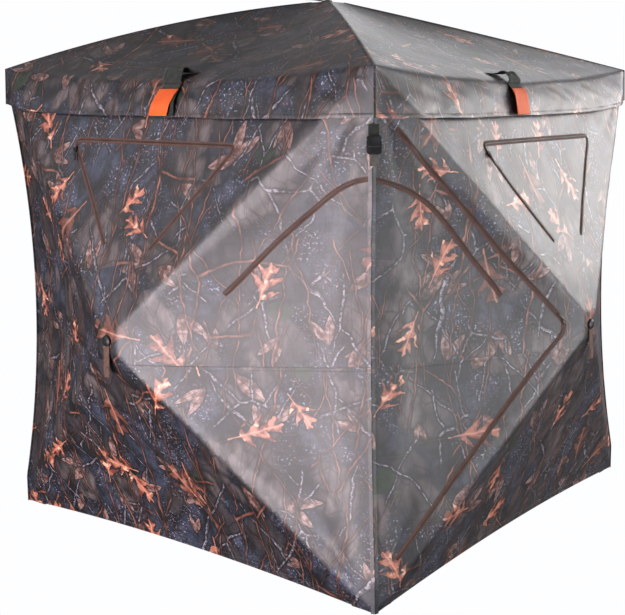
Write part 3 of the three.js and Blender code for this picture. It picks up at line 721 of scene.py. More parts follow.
def triangulated(border, lines, outlines, pitch):
    """A flat mesh inside a border, with edges along the lines and outlines. Returns points, triangles."""
    points, edges = [], []

    def put(path, closed):
        start = len(points)
        points.extend(path)
        count = len(path)
        edges.extend((start + i, start + i + 1) for i in range(count - 1))
        if closed:
            edges.append((start + count - 1, start))

    put(border, True)
    for path in outlines:
        put(dense(path, pitch), True)
    for path in lines:
        put(dense(path, pitch, closed=False), False)
    tree = kdtree.KDTree(len(points))
    for i, p in enumerate(points):
        tree.insert((p[0], p[1], 0), i)
    tree.balance()
    low, high = border.min(0), border.max(0)
    grid = []
    for row, z in enumerate(np.arange(low[1], high[1], pitch * 0.866)):
        for u in np.arange(low[0] + pitch * 0.5 * (row % 2), high[0], pitch):
            if tree.find((u, z, 0))[2] > pitch * 0.55:
                grid.append((u, z))
    grid = np.array(grid)
    points += list(grid[inside(grid, border)])
    found = delaunay_2d_cdt([Vector(p) for p in points], edges, [], 0, 1e-6)
    flat = np.array([tuple(v) for v in found[0]])
    triangles = np.array([f for f in found[2]])
    centres = flat[triangles].mean(1)
    keep = inside(centres, border)
    triangles, centres = triangles[keep], centres[keep]
    a, b, c = (flat[triangles[:, k]] for k in range(3))
    turning = (b[:, 0] - a[:, 0]) * (c[:, 1] - a[:, 1]) - (b[:, 1] - a[:, 1]) * (c[:, 0] - a[:, 0])
    triangles[turning < 0] = triangles[turning < 0][:, ::-1]
    return flat, triangles, centres


def region(flat, triangles, keep):
    """The part of a flat mesh where keep is true, with its own numbering."""
    chosen = triangles[keep]
    used, numbers = np.unique(chosen, return_inverse=True)
    return flat[used], numbers.reshape(-1, 3)


def area_of(points, faces):
    total = 0.0
    for face in faces:
        p = points[list(face)]
        for k in range(1, len(face) - 1):
            total += np.linalg.norm(np.cross(p[k] - p[0], p[k + 1] - p[0])) / 2
    return total


SEAM_Z, SEAM_LIFT = 0.655, 0.03


def seam_height(u):
    return SEAM_Z + SEAM_LIFT * (np.asarray(u) / HALF) ** 2


def wall_print(flat, triangles, wall):
    """Where on the printed cloth each triangle's corners are cut from; below the seam is another cut."""
    shift = PRINT_SHIFT[wall]
    middle = flat[triangles].mean(1)
    lower = (middle[:, 1] < seam_height(middle[:, 0]))[:, None]
    corners = flat[triangles]
    across = corners[:, :, 0] + shift[0] + lower * LOWER_CUT[0]
    up = corners[:, :, 1] + shift[1] + lower * LOWER_CUT[1]
    return np.stack([across.ravel(), up.ravel()], 1)


# ---------- the walls, window flaps, screens and door ----------
CLOTH_PITCH = 0.012
CLOTH_THICK = 0.0011
FLAP_GAP = 0.0012
seam_path = [(u, float(seam_height(u))) for u in np.linspace(-0.72, 0.72, 25)]
ridges = [
    [(su * FLAT, HUB_Z + sz * FLAT), (su * (REACH - 0.004), TOP - 0.004 if sz > 0 else HEM_LIFT + 0.004)]
    for su in (-1, 1)
    for sz in (-1, 1)
]


def flat_wall(with_door):
    window = window_outline()
    outlines = [window, door_outline()] if with_door else [window]
    return triangulated(wall_border(CLOTH_PITCH), [*ridges, seam_path], outlines, CLOTH_PITCH)


def add_cloth(name, wall, flat, faces, proud=0.0):
    points = wall_points(flat[:, 0], flat[:, 1], proud, WALL_SEED[wall])
    made = mesh_object(name, turned(points, wall), faces, [camo], wall_print(flat, faces, wall))
    thicken(made, CLOTH_THICK, coated)
    return made, area_of(points, faces)


flat_parts = {}
for wall in TURNS:
    with_door = wall == "right"
    if with_door not in flat_parts:
        flat_parts[with_door] = flat_wall(with_door)
    flat, triangles, centres = flat_parts[with_door]
    in_window = inside(centres, window_outline())
    in_door = inside(centres, door_outline()) if with_door else np.zeros(len(centres), bool)

    points, faces = region(flat, triangles, ~in_window & ~in_door)
    cloth, area = add_cloth(f"{wall}_wall_cloth", wall, points, faces)
    on_hub_at(cloth, points)
    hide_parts(f"wall_{wall}")

    points, faces = region(flat, triangles, in_window)
    # The flap stops short of its zipper and joins the wall along its lower edge.
    fold = np.array([0, WINDOW_LOW])
    size = np.array([WINDOW_HIGH_HALF, WINDOW_HIGH - WINDOW_LOW])
    points = fold + (points - fold) * (1 - FLAP_GAP / size)
    flap, area = add_cloth(f"{wall}_window_flap_cloth", wall, points, faces)
    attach(flap, f"window_flap_{wall}")
    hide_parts(f"window_flap_{wall}")

    if with_door:
        points, faces = region(flat, triangles, in_door)
        door, area = add_cloth("door_flap_cloth", wall, points, faces)
        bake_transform(door)
        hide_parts("door_flap")

# The see-through screens behind the windows.
SCREEN_LAP, SCREEN_BEHIND = 0.012, 0.006
screen_outline = window_outline(-SCREEN_LAP)
flat, triangles, centres = triangulated(dense(screen_outline, 0.02), [], [], 0.02)
for wall in TURNS:
    points = wall_points(flat[:, 0], flat[:, 1], -SCREEN_BEHIND, WALL_SEED[wall])
    screen = mesh_object(
        f"{wall}_window_mesh", turned(points, wall), triangles, [mesh_cloth], flat
    )
    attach(screen, f"window_screen_{wall}")
    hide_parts(f"window_screen_{wall}")
    area_of(points, triangles)


# ---------- strips, stitches and zippers that follow a wall ----------
def path_frames(path):
    """Unit directions along a path and across it, to its left, in the plane of the wall."""
    along = np.gradient(path, axis=0)
    along /= np.linalg.norm(along, axis=1)[:, None]
    return along, np.stack([-along[:, 1], along[:, 0]], 1)


def along_of(path):
    """How far along a path each of its points lies."""
    return np.concatenate([[0], np.cumsum(np.linalg.norm(np.diff(path, axis=0), axis=1))])


def sample(stops, run, values):
    """Values at stops along a path, from the values at its points."""
    return np.stack([np.interp(stops, run, values[:, k]) for k in range(values.shape[1])], 1)


def swept_faces(rows, count):
    """Faces of a closed section swept through rows of points, with both its ends closed."""
    faces = []
    for i in range(rows - 1):
        for k in range(count):
            a, b = i * count + k, i * count + (k + 1) % count
            faces.append((a, b, b + count, a + count))
    faces.append(tuple(range(count - 1, -1, -1)))
    faces.append(tuple((rows - 1) * count + k for k in range(count)))
    return faces


BOX_RING = ((-1, -1), (1, -1), (1, 1), (-1, 1))
BOX_FACES = ((0, 3, 2, 1), (4, 5, 6, 7), (0, 1, 5, 4), (1, 2, 6, 5), (2, 3, 7, 6), (3, 0, 4, 7))


def box_faces(count):
    """Faces of many small boxes of eight points each."""
    return [tuple(8 * k + i for i in face) for k in range(count) for face in BOX_FACES]


def smooth_path(points, pitch=0.008, steps=12, least=2):
    """A round path through the points, by a Catmull-Rom curve, at an even pitch."""
    p = np.array(points, float)
    p = np.concatenate([[2 * p[0] - p[1]], p, [2 * p[-1] - p[-2]]])
    found = []
    for i in range(1, len(p) - 2):
        for t in np.linspace(0, 1, steps, endpoint=False):
            bend = 2 * p[i - 1] - 5 * p[i] + 4 * p[i + 1] - p[i + 2]
            twist = 3 * p[i] + p[i + 2] - p[i - 1] - 3 * p[i + 1]
            found.append((2 * p[i] + (p[i + 1] - p[i - 1]) * t + bend * t**2 + twist * t**3) / 2)
    found.append(p[-2])
    found = np.array(found)
    run = along_of(found)
    return sample(np.linspace(0, run[-1], max(least, round(run[-1] / pitch))), run, found)


def curve_line(points, pitch=0.006):
    """An even, smooth line in space through the points."""
    return smooth_path(points, pitch, 10, 3)


def strip(path, section, wall):
    """Sweeps a section of (across, proud) points along a path on a wall: points, faces, prints, (u, z)."""
    _, across = path_frames(path)
    run = along_of(path)
    spread = np.array([s[0] for s in section])
    high = np.array([s[1] for s in section])
    uz = path[:, None, :] + across[:, None, :] * spread[None, :, None]
    flat = uz.reshape(-1, 2)
    proud = np.tile(high, len(path))
    points = wall_points(flat[:, 0], flat[:, 1], proud, WALL_SEED[wall])
    prints = np.stack([np.tile(spread, len(path)), np.repeat(run, len(section))], 1)
    return points, swept_faces(len(path), len(section)), prints, flat


class Parts:
    """Collects points and faces of many small shapes into one piece."""

    def __init__(self):
        self.points, self.faces, self.prints, self.flat, self.count = [], [], [], [], 0

    def put(self, points, faces, prints, flat):
        self.points.append(points)
        self.prints.append(prints)
        self.flat.append(flat)
        self.faces += [tuple(i + self.count for i in f) for f in faces]
        self.count += len(points)

    def made(self, name, wall, material, smooth=True):
        points = np.concatenate(self.points)
        piece = mesh_object(
            name, turned(points, wall), self.faces, [material], np.concatenate(self.prints), smooth
        )
        self.all_flat = np.concatenate(self.flat)
        return piece


def blocks(path, pitch, sizes, wall, proud, shift=0.0, alternate=0.0, start=0.0):
    """Small boxes along a path on a wall: sizes are half across, half along and height."""
    run = along_of(path)
    stops = np.arange(start + pitch / 2, run[-1] - start, pitch)
    middle = sample(stops, run, path)
    way = sample(stops, run, path_frames(path)[0])
    side = np.stack([-way[:, 1], way[:, 0]], 1)
    signs = np.where(np.arange(len(stops)) % 2, 1.0, -1.0)[:, None]
    middle = middle + side * (shift + alternate * signs)
    wide, long, tall = sizes
    flat, height = [], []
    for level, narrow in ((0.0, 1.0), (1.0, 0.72)):
        for cu, cv in BOX_RING:
            flat.append(middle + side * wide * cu * narrow + way * long * cv * narrow)
            height.append(np.full(len(stops), proud + level * tall))
    flat = np.stack(flat, 1).reshape(-1, 2)
    height = np.stack(height, 1).ravel()
    points = wall_points(flat[:, 0], flat[:, 1], height, WALL_SEED[wall])
    return points, box_faces(len(stops)), flat.copy(), flat


TAPE_HALF = 0.0075
TAPE_THICK = 0.0007
COIL_HALF = 0.0014


def half_zipper(name, path, side, wall):
    """One half of a zipper beside a path: side is 1 for its left half and -1 for its right.
    Returns the tape, its teeth and its stitches."""
    near, far = side * 0.0004, side * TAPE_HALF
    coil_foot, coil_top = near + side * COIL_HALF * 2, near + side * COIL_HALF * 1.6
    flat_section = [(near, 0.0002), (far, 0.0002), (far, TAPE_THICK), (coil_foot, TAPE_THICK),
                    (coil_top, 0.0021), (near, 0.0021)]
    if side < 0:
        flat_section = flat_section[::-1]
    tape = Parts()
    tape.put(*strip(path, flat_section, wall))
    tape_piece = tape.made(f"{name}_tape", wall, tape_cloth)
    teeth = Parts()
    shift = side * COIL_HALF * 0.75
    teeth.put(*blocks(path, 0.0034, (COIL_HALF * 0.95, 0.0010, 0.0011), wall, 0.0019, shift))
    teeth_piece = teeth.made(f"{name}_teeth", wall, tooth_plastic, smooth=False)
    sewn = Parts()
    shift = side * (TAPE_HALF - 0.0016)
    sewn.put(*blocks(path, 0.0052, (0.0003, 0.0018, 0.0003), wall, TAPE_THICK, shift))
    sewn_piece = sewn.made(f"{name}_stitches", wall, thread, smooth=False)
    return [(tape_piece, tape), (teeth_piece, teeth), (sewn_piece, sewn)]


# Window zippers: up one side, across the top and down the other.
outline = window_outline(steps=10)
window_path = dense(outline[1:].tolist() + [outline[0].tolist()], 0.008, closed=False)
for wall in TURNS:
    for side, part in ((1, "flap"), (-1, "wall")):
        for piece, made in half_zipper(f"{wall}_window_zipper_{part}", window_path, side, wall):
            if part == "flap":
                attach(piece, f"window_flap_{wall}")
            else:
                on_hub_at(piece, made.all_flat)

# The door's zipper runs from the foot to the tip and up to the top.
door_path = smooth_path([(DOOR_HINGE_U, DOOR_FOOT_Z), (-0.38, 0.4476), (-0.125, 0.6985)])
upper = smooth_path([(-0.125, 0.7595), (-0.38, 1.0198), (DOOR_HINGE_U, DOOR_TOP_Z)])
t = np.linspace(0, 1, 8)[1:-1, None]
bend = (1 - t) ** 2 * door_path[-1] + 2 * t * (1 - t) * np.array(DOOR_TIP) + t**2 * upper[0]
door_path = np.concatenate([door_path, bend, upper])
for side, part in ((1, "flap"), (-1, "frame")):
    for piece, made in half_zipper(f"door_zipper_{part}", door_path, side, "right"):
        if part == "flap":
            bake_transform(piece)
        else:
            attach(piece, "door_frame")
            if piece.name.endswith("tape"):
                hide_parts("door_zipper")

# The arched zipper of the corner window, sewn over the corner.
arch_front = smooth_path([
    (0.334, 0.873), (0.392, 0.932), (0.476, 1.019), (0.559, 1.097), (0.639, 1.166), (0.691, 1.196),
    (0.732, 1.206),
])
arch_right = smooth_path([(-0.735, 1.206), (-0.706, 1.197), (DOOR_HINGE_U - 0.002, 1.1925)])
arch_door = smooth_path([
    (DOOR_HINGE_U, 1.192), (-0.628, 1.166), (-0.564, 1.121), (-0.498, 1.053), (-0.429, 0.972),
    (-0.358, 0.893), (-0.321, 0.845),
])
for name, path, wall in (
    ("arch_zipper_front", arch_front, "front"),
    ("arch_zipper_corner", arch_right, "right"),
    ("arch_zipper_door", arch_door, "right"),
):
    for side, part in ((1, "upper"), (-1, "lower")):
        for piece, made in half_zipper(f"{name}_{part}", path, side, wall):
            if name == "arch_zipper_door":
                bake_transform(piece)
            else:
                on_hub_at(piece, made.all_flat)


# ---------- ribbons and rods in free space ----------
def unit(v):
    v = np.asarray(v, float)
    return v / np.linalg.norm(v, axis=-1, keepdims=True)


def sweep(centres, across, out, section):
    """Sweeps a closed section of (across, out) points along a line in space."""
    centres, across, out = (np.asarray(a, float) for a in (centres, across, out))
    rows, count = len(centres), len(section)
    spread = np.array(section)
    points = (
        centres[:, None, :]
        + across[:, None, :] * spread[None, :, 0, None]
        + out[:, None, :] * spread[None, :, 1, None]
    ).reshape(-1, 3)
    run = along_of(centres)
    prints = np.stack([np.tile(spread[:, 0], rows), np.repeat(run, count)], 1)
    return points, swept_faces(rows, count), prints


def tape_section(half, thick, edge=0.0006):
    """A flat tape with rounded edges; its back is at 0."""
    return [
        (half, thick * 0.5), (half - edge, thick), (-half + edge, thick),
        (-half, thick * 0.5), (-half + edge, 0), (half - edge, 0),
    ]


def stitch_blocks(line, across, out, pitch, size, shift):
    """Small stitches along a line in space, as points, faces and prints."""
    run = along_of(line)
    stops = np.arange(pitch / 2, run[-1], pitch)
    way = unit(sample(stops, run, np.gradient(line, axis=0)))
    side = unit(sample(stops, run, across))
    up = unit(sample(stops, run, out))
    middle = sample(stops, run, line) + side * shift
    wide, long, low, high = size
    points = []
    for height, narrow in ((low, 1.0), (high, 0.6)):
        for cu, cv in BOX_RING:
            points.append(middle + side * wide * cu * narrow + way * long * cv * narrow + up * height)
    points = np.stack(points, 1).reshape(-1, 3)
    return points, box_faces(len(stops)), points[:, :2].copy()


# ---------- seams, hems and corner bindings on the walls ----------
STITCH_INSET = 0.002


def wall_trim(name, path, half, proud, wall):
    """A flat band sewn on a wall, with its stitches. Returns the pieces and where their points lie."""
    section = [(half, 0.0001), (half, proud * 0.8), (half - 0.0012, proud), (-half + 0.0012, proud),
               (-half, proud * 0.8), (-half, 0.0001)]
    band = Parts()
    points, faces, _, flat = strip(path, section, wall)
    band.put(points, faces, flat + np.array(PRINT_SHIFT[wall]) + np.array(LOWER_CUT), flat)
    made = band.made(name, wall, camo)
    sewn = Parts()
    for shift in (half - STITCH_INSET, -half + STITCH_INSET):
        sewn.put(*blocks(path, 0.0056, (0.00035, 0.0019, 0.0004), wall, proud, shift))
    stitches = sewn.made(f"{name}_stitches", wall, thread, smooth=False)
    return [(made, band), (stitches, sewn)]


def level_path(first, last, height, pitch=0.012):
    us = np.linspace(first, last, max(2, round(abs(last - first) / pitch)))
    return np.stack([us, height(us)], 1)


SEAM_HALF, HEM_HALF, BAND_PROUD = 0.006, 0.011, 0.0009
for wall in TURNS:
    spans = [(-0.712, 0.712)] if wall != "right" else [(-0.712, DOOR_HINGE_U - 0.001), (-0.158, 0.712)]
    for k, (first, last) in enumerate(spans):
        for piece, made in wall_trim(
            f"{wall}_seam_{k}", level_path(first, last, seam_height), SEAM_HALF, BAND_PROUD, wall
        ):
            on_hub_at(piece, made.all_flat)
    hem = level_path(-REACH + 0.002, REACH - 0.002, lambda u: hem_height(u / REACH) + HEM_HALF + 0.0005)
    for piece, made in wall_trim(f"{wall}_hem", hem, HEM_HALF, BAND_PROUD, wall):
        on_hub_at(piece, made.all_flat)
for piece, made in wall_trim(
    "door_seam", level_path(DOOR_HINGE_U, -0.188, seam_height), SEAM_HALF, BAND_PROUD, "right"
):
    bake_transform(piece)

CORNERS = {"front_left": (-1, -1), "front_right": (1, -1), "back_right": (1, 1), "back_left": (-1, 1)}
LEG = 0.0095
for quarter, corner in enumerate(CORNERS):
    zs = np.linspace(HEM_LIFT, TOP - 0.002, 90)
    bow = corner_bow(zs)
    # Built for the front left corner: the walls lean out on each side of it.
    centre = np.stack([-HALF + bow, -HALF + bow, zs], 1)
    lean = SIDE_SLOPE
    section = []
    for t in (0.0008, 0.0022):
        leg = [(LEG, -LEG * lean - t), (LEG * 0.5, -LEG * 0.5 * lean - t), (0.0, -t)]
        other = [(-t, 0.0), (-LEG * 0.5 * lean - t, LEG * 0.5), (-LEG * lean - t, LEG)]
        section.append(leg + [(-t * 0.7, -t * 0.7)] + other)
    ring = section[1] + section[0][::-1]
    right = np.tile([1.0, 0, 0], (len(zs), 1))
    back = np.tile([0, 1.0, 0], (len(zs), 1))
    points, faces, _ = sweep(centre, right, back, ring)
    spin = np.array(Matrix.Rotation(quarter * math.pi / 2, 3, "Z"))
    # Each leg carries on the print of the wall it lies on.
    reach = [LEG, LEG * 0.5, 0, 0, 0, LEG * 0.5, LEG]
    reach += reach[::-1]
    prints = []
    for face in faces:
        first = face[0] % len(ring) not in range(3, 10)
        wall = list(TURNS)[quarter if first else quarter - 1]
        for i in face:
            row, k = divmod(i, len(ring))
            u = HALF - bow[row] - reach[k]
            lower = zs[row] < seam_height(HALF)
            shift = PRINT_SHIFT[wall]
            across = shift[0] + (-u if first else u) + lower * LOWER_CUT[0]
            prints.append((across, shift[1] + zs[row] + lower * LOWER_CUT[1]))
    name = f"corner_binding_{corner}"
    binding = mesh_object(name, points @ spin.T, faces, [camo], np.array(prints))
    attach(binding, "root")


# ---------- the roof ----------
ROOF_TOP = EAVE + ROOF_RISE
HIP_BOW = {"front_left": 0.030, "front_right": 0.010, "back_right": 0.005, "back_left": 0.022}
HEM_UP = {"front_left": 0.028, "front_right": 0.008, "back_right": 0.036, "back_left": 0.022}
ROOF_COLUMNS = 100
GORE_ROWS, SKIRT_ROWS = ((42, 16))
corner_names = list(CORNERS)
# Rows down the roof and the skirt, closer together at the fold between them.
GORE_STOPS = np.concatenate([np.linspace(0, 0.955, GORE_ROWS - 4), [0.968, 0.98, 0.99, 1.0]])
SKIRT_STOPS = np.concatenate([[0.045, 0.09, 0.14], np.linspace(0.2, 1, SKIRT_ROWS - 4)])


def eave_row(share, drop):
    """Points of one side's skirt, facing -Y, for shares of its width from -1 to 1."""
    proud = ROOF_PROUD + HEM_FLARE * drop
    u = share * (HALF + proud)
    fold = EAVE + CLOTH - eave_sag(np.minimum(np.abs(u), HALF))
    z = fold + (EAVE - VALANCE - fold) * drop
    room = np.minimum(TOP_SLOPE * (EAVE - z), SIDE_SLOPE * (HALF - np.abs(u)))
    return np.stack([u, -(HALF + np.maximum(room, 0) + proud), z], 1)


def roof_side(k, shares):
    """Rows of points of side k, from the hub to the skirt's hem, facing -Y, and their hub shares."""
    first, last = corner_names[k], corner_names[(k + 1) % 4]
    near = np.abs(shares) ** 1.5
    bow = np.where(shares < 0, HIP_BOW[first], HIP_BOW[last]) * near
    lift = np.where(shares < 0, HEM_UP[first], HEM_UP[last]) * np.abs(shares) ** 3.5
    top = np.stack([shares * FLAT, np.full_like(shares, -FLAT), np.full_like(shares, ROOF_TOP)], 1)
    eave = eave_row(shares, 0.0)
    rows, hub = [], []
    seeds = k * 7.3
    for fraction in (0.2, 0.6):
        row = top.copy()
        row[:, :2] *= fraction
        rows.append(row)
        hub.append(np.ones_like(shares))
    for s in GORE_STOPS:
        row = top + (eave - top) * s
        row[:, 2] += bow * 4 * s * (1 - s)
        row[:, 2] -= 0.010 * 4 * s * (1 - s) * (1 - shares**2)
        # Tension folds that run in from each corner.
        for end in (-1, 1):
            away = np.hypot(row[:, 0] - end * HALF, row[:, 1] + HALF)
            angle = np.arctan2(row[:, 1] + HALF, np.abs(row[:, 0] - end * HALF))
            fold = np.sin(angle * 21 + k + end) * np.exp(-away / 0.2) * np.clip(away / 0.05, 0, 1)
            row[:, 2] += 0.0028 * fold * (1 - near * near)
        ripple = soft_noise(np.stack([row[:, 0], row[:, 1] * 1.4], 1), 4.0, 50 + seeds)
        row[:, 2] += ripple * 0.005 * np.clip(s * 5, 0, 1) * (1 - near)
        rows.append(row)
        hub.append(np.clip(1 - s - tip_hold(1 - s, shares), 0, 1))
    for drop in SKIRT_STOPS:
        row = eave_row(shares, drop)
        row[:, 2] += lift * drop
        wave = np.sin(shares * 21 + k * 2 + 1.2 * np.sin(shares * 5 + k)) * 0.5 + 0.5
        ripple = soft_noise(np.stack([row[:, 0] * 1.2, row[:, 2] * 1.6], 1), 7.5, 90 + seeds)
        slanted = np.stack([row[:, 0] + np.abs(row[:, 2] - 1.4) * 2, row[:, 2]], 1)
        crease = soft_noise(slanted, 17, 5 + seeds)
        ripple = ripple * 0.006 * np.sin(math.pi * min(drop * 1.2, 1))
        puff = wave * 0.0055 * drop + ripple + crease * 0.003
        row[:, 1] -= np.maximum(puff, -0.002) * (1 - np.abs(shares) ** 12)
        row[:, 1] -= 0.004 * math.sin(math.pi * drop) * (1 - np.abs(shares) ** 12)
        row[:, 2] += 0.0035 * drop * soft_noise(np.stack([row[:, 0], row[:, 0] * 0], 1), 5.0, 20 + seeds)
        rows.append(row)
        hub.append(np.zeros_like(shares))
    rows = np.array(rows)
    fold = GORE_ROWS + 1
    free = (1 - np.abs(shares) ** 8)[None, :, None]
    for _ in range(3):  # the fold over the eave is soft, and sharper at its corners
        beside = (rows[fold - 3 : fold + 2] + rows[fold - 1 : fold + 4]) / 2
        rows[fold - 2 : fold + 3] += (beside - rows[fold - 2 : fold + 3]) * 0.5 * free
    return rows, np.array(hub)


def roof_cut(k, across, down):
    """Where on the printed cloth a place on side k of the roof is cut from."""
    return across + 9.1 + 2.3 * k, 1.7 * k - down


def on_roof_hub(made, shares):
    """Cloth on the roof's hub, with its place baked into its points; its shares are not used."""
    return share_blend(made)


shares = np.linspace(-1, 1, ROOF_COLUMNS + 1)
sides, flat_sides = [], []
for k in range(4):
    rows, hub = roof_side(k, shares)
    flat_sides.append(rows)
    sides.append(turned(rows.reshape(-1, 3), list(TURNS)[k]).reshape(rows.shape))
columns = 4 * ROOF_COLUMNS
row_count = len(hub)
roof_points = np.zeros((row_count, columns, 3))
for k in range(4):
    start = k * ROOF_COLUMNS
    roof_points[:, start : start + ROOF_COLUMNS] = sides[k][:, :-1]
for k in range(4):  # neighbouring sides meet on their hip
    start = k * ROOF_COLUMNS
    before = sides[k - 1][:, -1]
    roof_points[:, start] = (sides[k][:, 0] + before) / 2
faces, corners_print = [], []
slope_run = along_of(roof_points[:, ROOF_COLUMNS // 2])
for r in range(row_count - 1):
    for c in range(columns):
        k, column = divmod(c, ROOF_COLUMNS)
        following = (c + 1) % columns
        here, below = r * columns, (r + 1) * columns
        faces.append((here + c, below + c, below + following, here + following))
        for row, col in ((r, column), (r + 1, column), (r + 1, column + 1), (r, column + 1)):
            corners_print.append(roof_cut(k, flat_sides[k][row, col, 0], slope_run[row]))
roof = mesh_object("roof_cloth", roof_points.reshape(-1, 3), faces, [camo], np.array(corners_print))
roof_area = area_of(roof_points.reshape(-1, 3), faces)
thicken(roof, CLOTH_THICK, coated)
on_roof_hub(roof, np.tile(hub[:, :-1], (1, 4)).ravel())
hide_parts("roof_cover")


def roof_line(c, first=2, last=None):
    """A line of the roof's points down one column, and its hub shares."""
    return roof_points[first:last, c % columns], hub[first:last, c % ROOF_COLUMNS]


def roof_tape(name, line, line_shares, across, out, half, proud):
    """A printed tape along a line of the roof, with a row of stitches on each side."""
    points, faces, prints = sweep(line, across, out, tape_section(half, proud))
    made = mesh_object(name, points, faces, [camo], prints + [11.3, 2.2])
    on_roof_hub(made, np.repeat(line_shares, 6))
    points, faces, prints = [], [], []
    for shift in (half - 0.0017, -half + 0.0017):
        size = (0.00035, 0.0019, proud, proud + 0.0004)
        p, f, q = stitch_blocks(line, across, out, 0.006, size, shift)
        faces += [tuple(i + sum(map(len, points)) for i in g) for g in f]
        points.append(p)
        prints.append(q)
    points, prints = np.concatenate(points), np.concatenate(prints)
    sewn = mesh_object(f"{name}_stitches", points, faces, [thread], prints, smooth=False)
    run = along_of(line)
    stops = np.arange(0.003, run[-1], 0.006)
    each = np.repeat(np.interp(stops, run, line_shares), 8)
    on_roof_hub(sewn, np.concatenate([each, each]))


for k, corner in enumerate(corner_names):
    line, line_shares = roof_line(k * ROOF_COLUMNS)
    sx, sy = CORNERS[corner]
    across = np.tile(unit([-sy, sx, 0.0]), (len(line), 1))
    out = unit(np.cross(across, np.gradient(line, axis=0)))
    if out[0, 2] < 0:
        across, out = -across, -out
    roof_tape(f"roof_hip_binding_{corner}", line, line_shares, across, out, 0.0042, BAND_PROUD)

# The skirt's hem, a folded band round its lower edge.
hem_rows = roof_points[-1], roof_points[-2]
ring = np.concatenate([hem_rows[0], hem_rows[0][:1]])
ring_up = np.concatenate([hem_rows[1], hem_rows[1][:1]])
rise = unit(ring_up - ring)
flow = unit(np.roll(hem_rows[0], -1, 0) - np.roll(hem_rows[0], 1, 0))
flow = np.concatenate([flow, flow[:1]])
outward = unit(np.cross(flow, rise))
count = len(ring) - 1
section = [(0.0003, 0.0002), (0.0003, 0.0006), (0.001, BAND_PROUD), (0.012, BAND_PROUD),
           (0.0128, 0.0006), (0.0128, 0.0001)]
points, faces, prints = sweep(ring[:-1], rise[:-1], outward[:-1], section)
faces = faces[:-2]
last = (count - 1) * len(section)
for j in range(len(section)):
    faces.append((last + j, last + (j + 1) % len(section), (j + 1) % len(section), j))
prints = []
for face in faces:
    for i in face:
        k, column = divmod(i // len(section), ROOF_COLUMNS)
        at_end = column == 0 and any(j // len(section) != i // len(section) and
                                     (j // len(section)) % ROOF_COLUMNS > 1 for j in face)
        if at_end:
            k, column = (k - 1) % 4, ROOF_COLUMNS
        up = section[i % len(section)][0]
        prints.append(roof_cut(k, flat_sides[k][-1, column, 0], slope_run[-1] - up))
band = mesh_object("roof_skirt_hem", points, faces, [camo], np.array(prints))
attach(band, "root")
p, f, q = stitch_blocks(ring, rise, outward, 0.006, (0.00035, 0.0019, 0.0009, 0.0013), 0.0105)
sewn = mesh_object("roof_skirt_stitches", p, f, [thread], q, smooth=False)
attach(sewn, "root")


# ---------- poles ----------
ROD_SIDES, ROD_RADIUS = 20, 0.0046
ROD_ROWS = range(6, 33)  # rows of a pole between its lug and its tip


def pole(name, pin, tip, out, bow, node):
    """A rod from its pin to its tip: a lug on the pin, a glass fibre rod, and a moulded tip."""
    pin, tip, out = (np.asarray(p, float) for p in (pin, tip, out))
    length = np.linalg.norm(tip - pin)
    profile = [
        (-0.007, 0.0), (-0.0068, 0.0026), (-0.0045, 0.0052), (0.012, 0.0052), (0.018, 0.0062),
        (0.034, 0.0062), (0.0355, 0.0047),
        *[(x, ROD_RADIUS) for x in np.linspace(0.04, length - 0.052, 26)],
        (length - 0.0475, ROD_RADIUS), (length - 0.046, 0.0062), (length - 0.012, 0.0064),
        (length - 0.004, 0.0055), (length - 0.0008, 0.003), (length, 0.0),
    ]
    way = unit(tip - pin)
    side = unit(np.cross(way, out))
    up = np.cross(side, way)
    points, prints = [], []
    for x, r in profile:
        t = np.clip(x / length, 0, 1)
        centre = pin + way * x + up * bow * 4 * t * (1 - t)
        for k in range(ROD_SIDES):
            a = 2 * math.pi * k / ROD_SIDES
            points.append(centre + (side * math.cos(a) + up * math.sin(a)) * max(r, 0.0001))
            prints.append((a * 0.005, x))
    faces = swept_faces(len(profile), ROD_SIDES)
    made = mesh_object(f"rod_{name}", points, faces, [plastic, rod], np.array(prints))
    for polygon in made.data.polygons:
        polygon.material_index = int(polygon.index // ROD_SIDES in ROD_ROWS)
    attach(made, node)
    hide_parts(node)


def pin_place(centre, tip, out):
    outward = tip - centre
    outward = outward - out * (outward @ out)
    return centre + outward / np.linalg.norm(outward) * PIN_RADIUS


for wall in TURNS:
    out = np.array([0, -1.0, 0])
    centre = np.array([0, -(FACE - PIN_DEPTH), HUB_Z])
    for level, z in (("upper", UPPER_TIP_Z), ("lower", LOWER_TIP_Z)):
        for side, sign in (("left", -1), ("right", 1)):
            tip = np.array([sign * (HALF - TIP_INSET), -(HALF - TIP_DEPTH), z])
            ends = turned(np.array([pin_place(centre, tip, out), tip, out]), wall)
            name = f"{wall}_{level}_{side}"
            pole(name, ends[0], ends[1], ends[2], 0.0, f"pole_{name}")
for corner, (sx, sy) in CORNERS.items():
    out = np.array([0, 0, 1.0])
    centre = np.array([0, 0, ROOF_TOP - PIN_DEPTH])
    tip = np.array([sx * (HALF - TIP_INSET), sy * (HALF - TIP_INSET), ROOF_TIP_Z])
    pin = pin_place(centre, tip, out)
    pole(f"roof_{corner}", pin, tip, out, HIP_BOW[corner] * 0.9, f"pole_roof_{corner}")


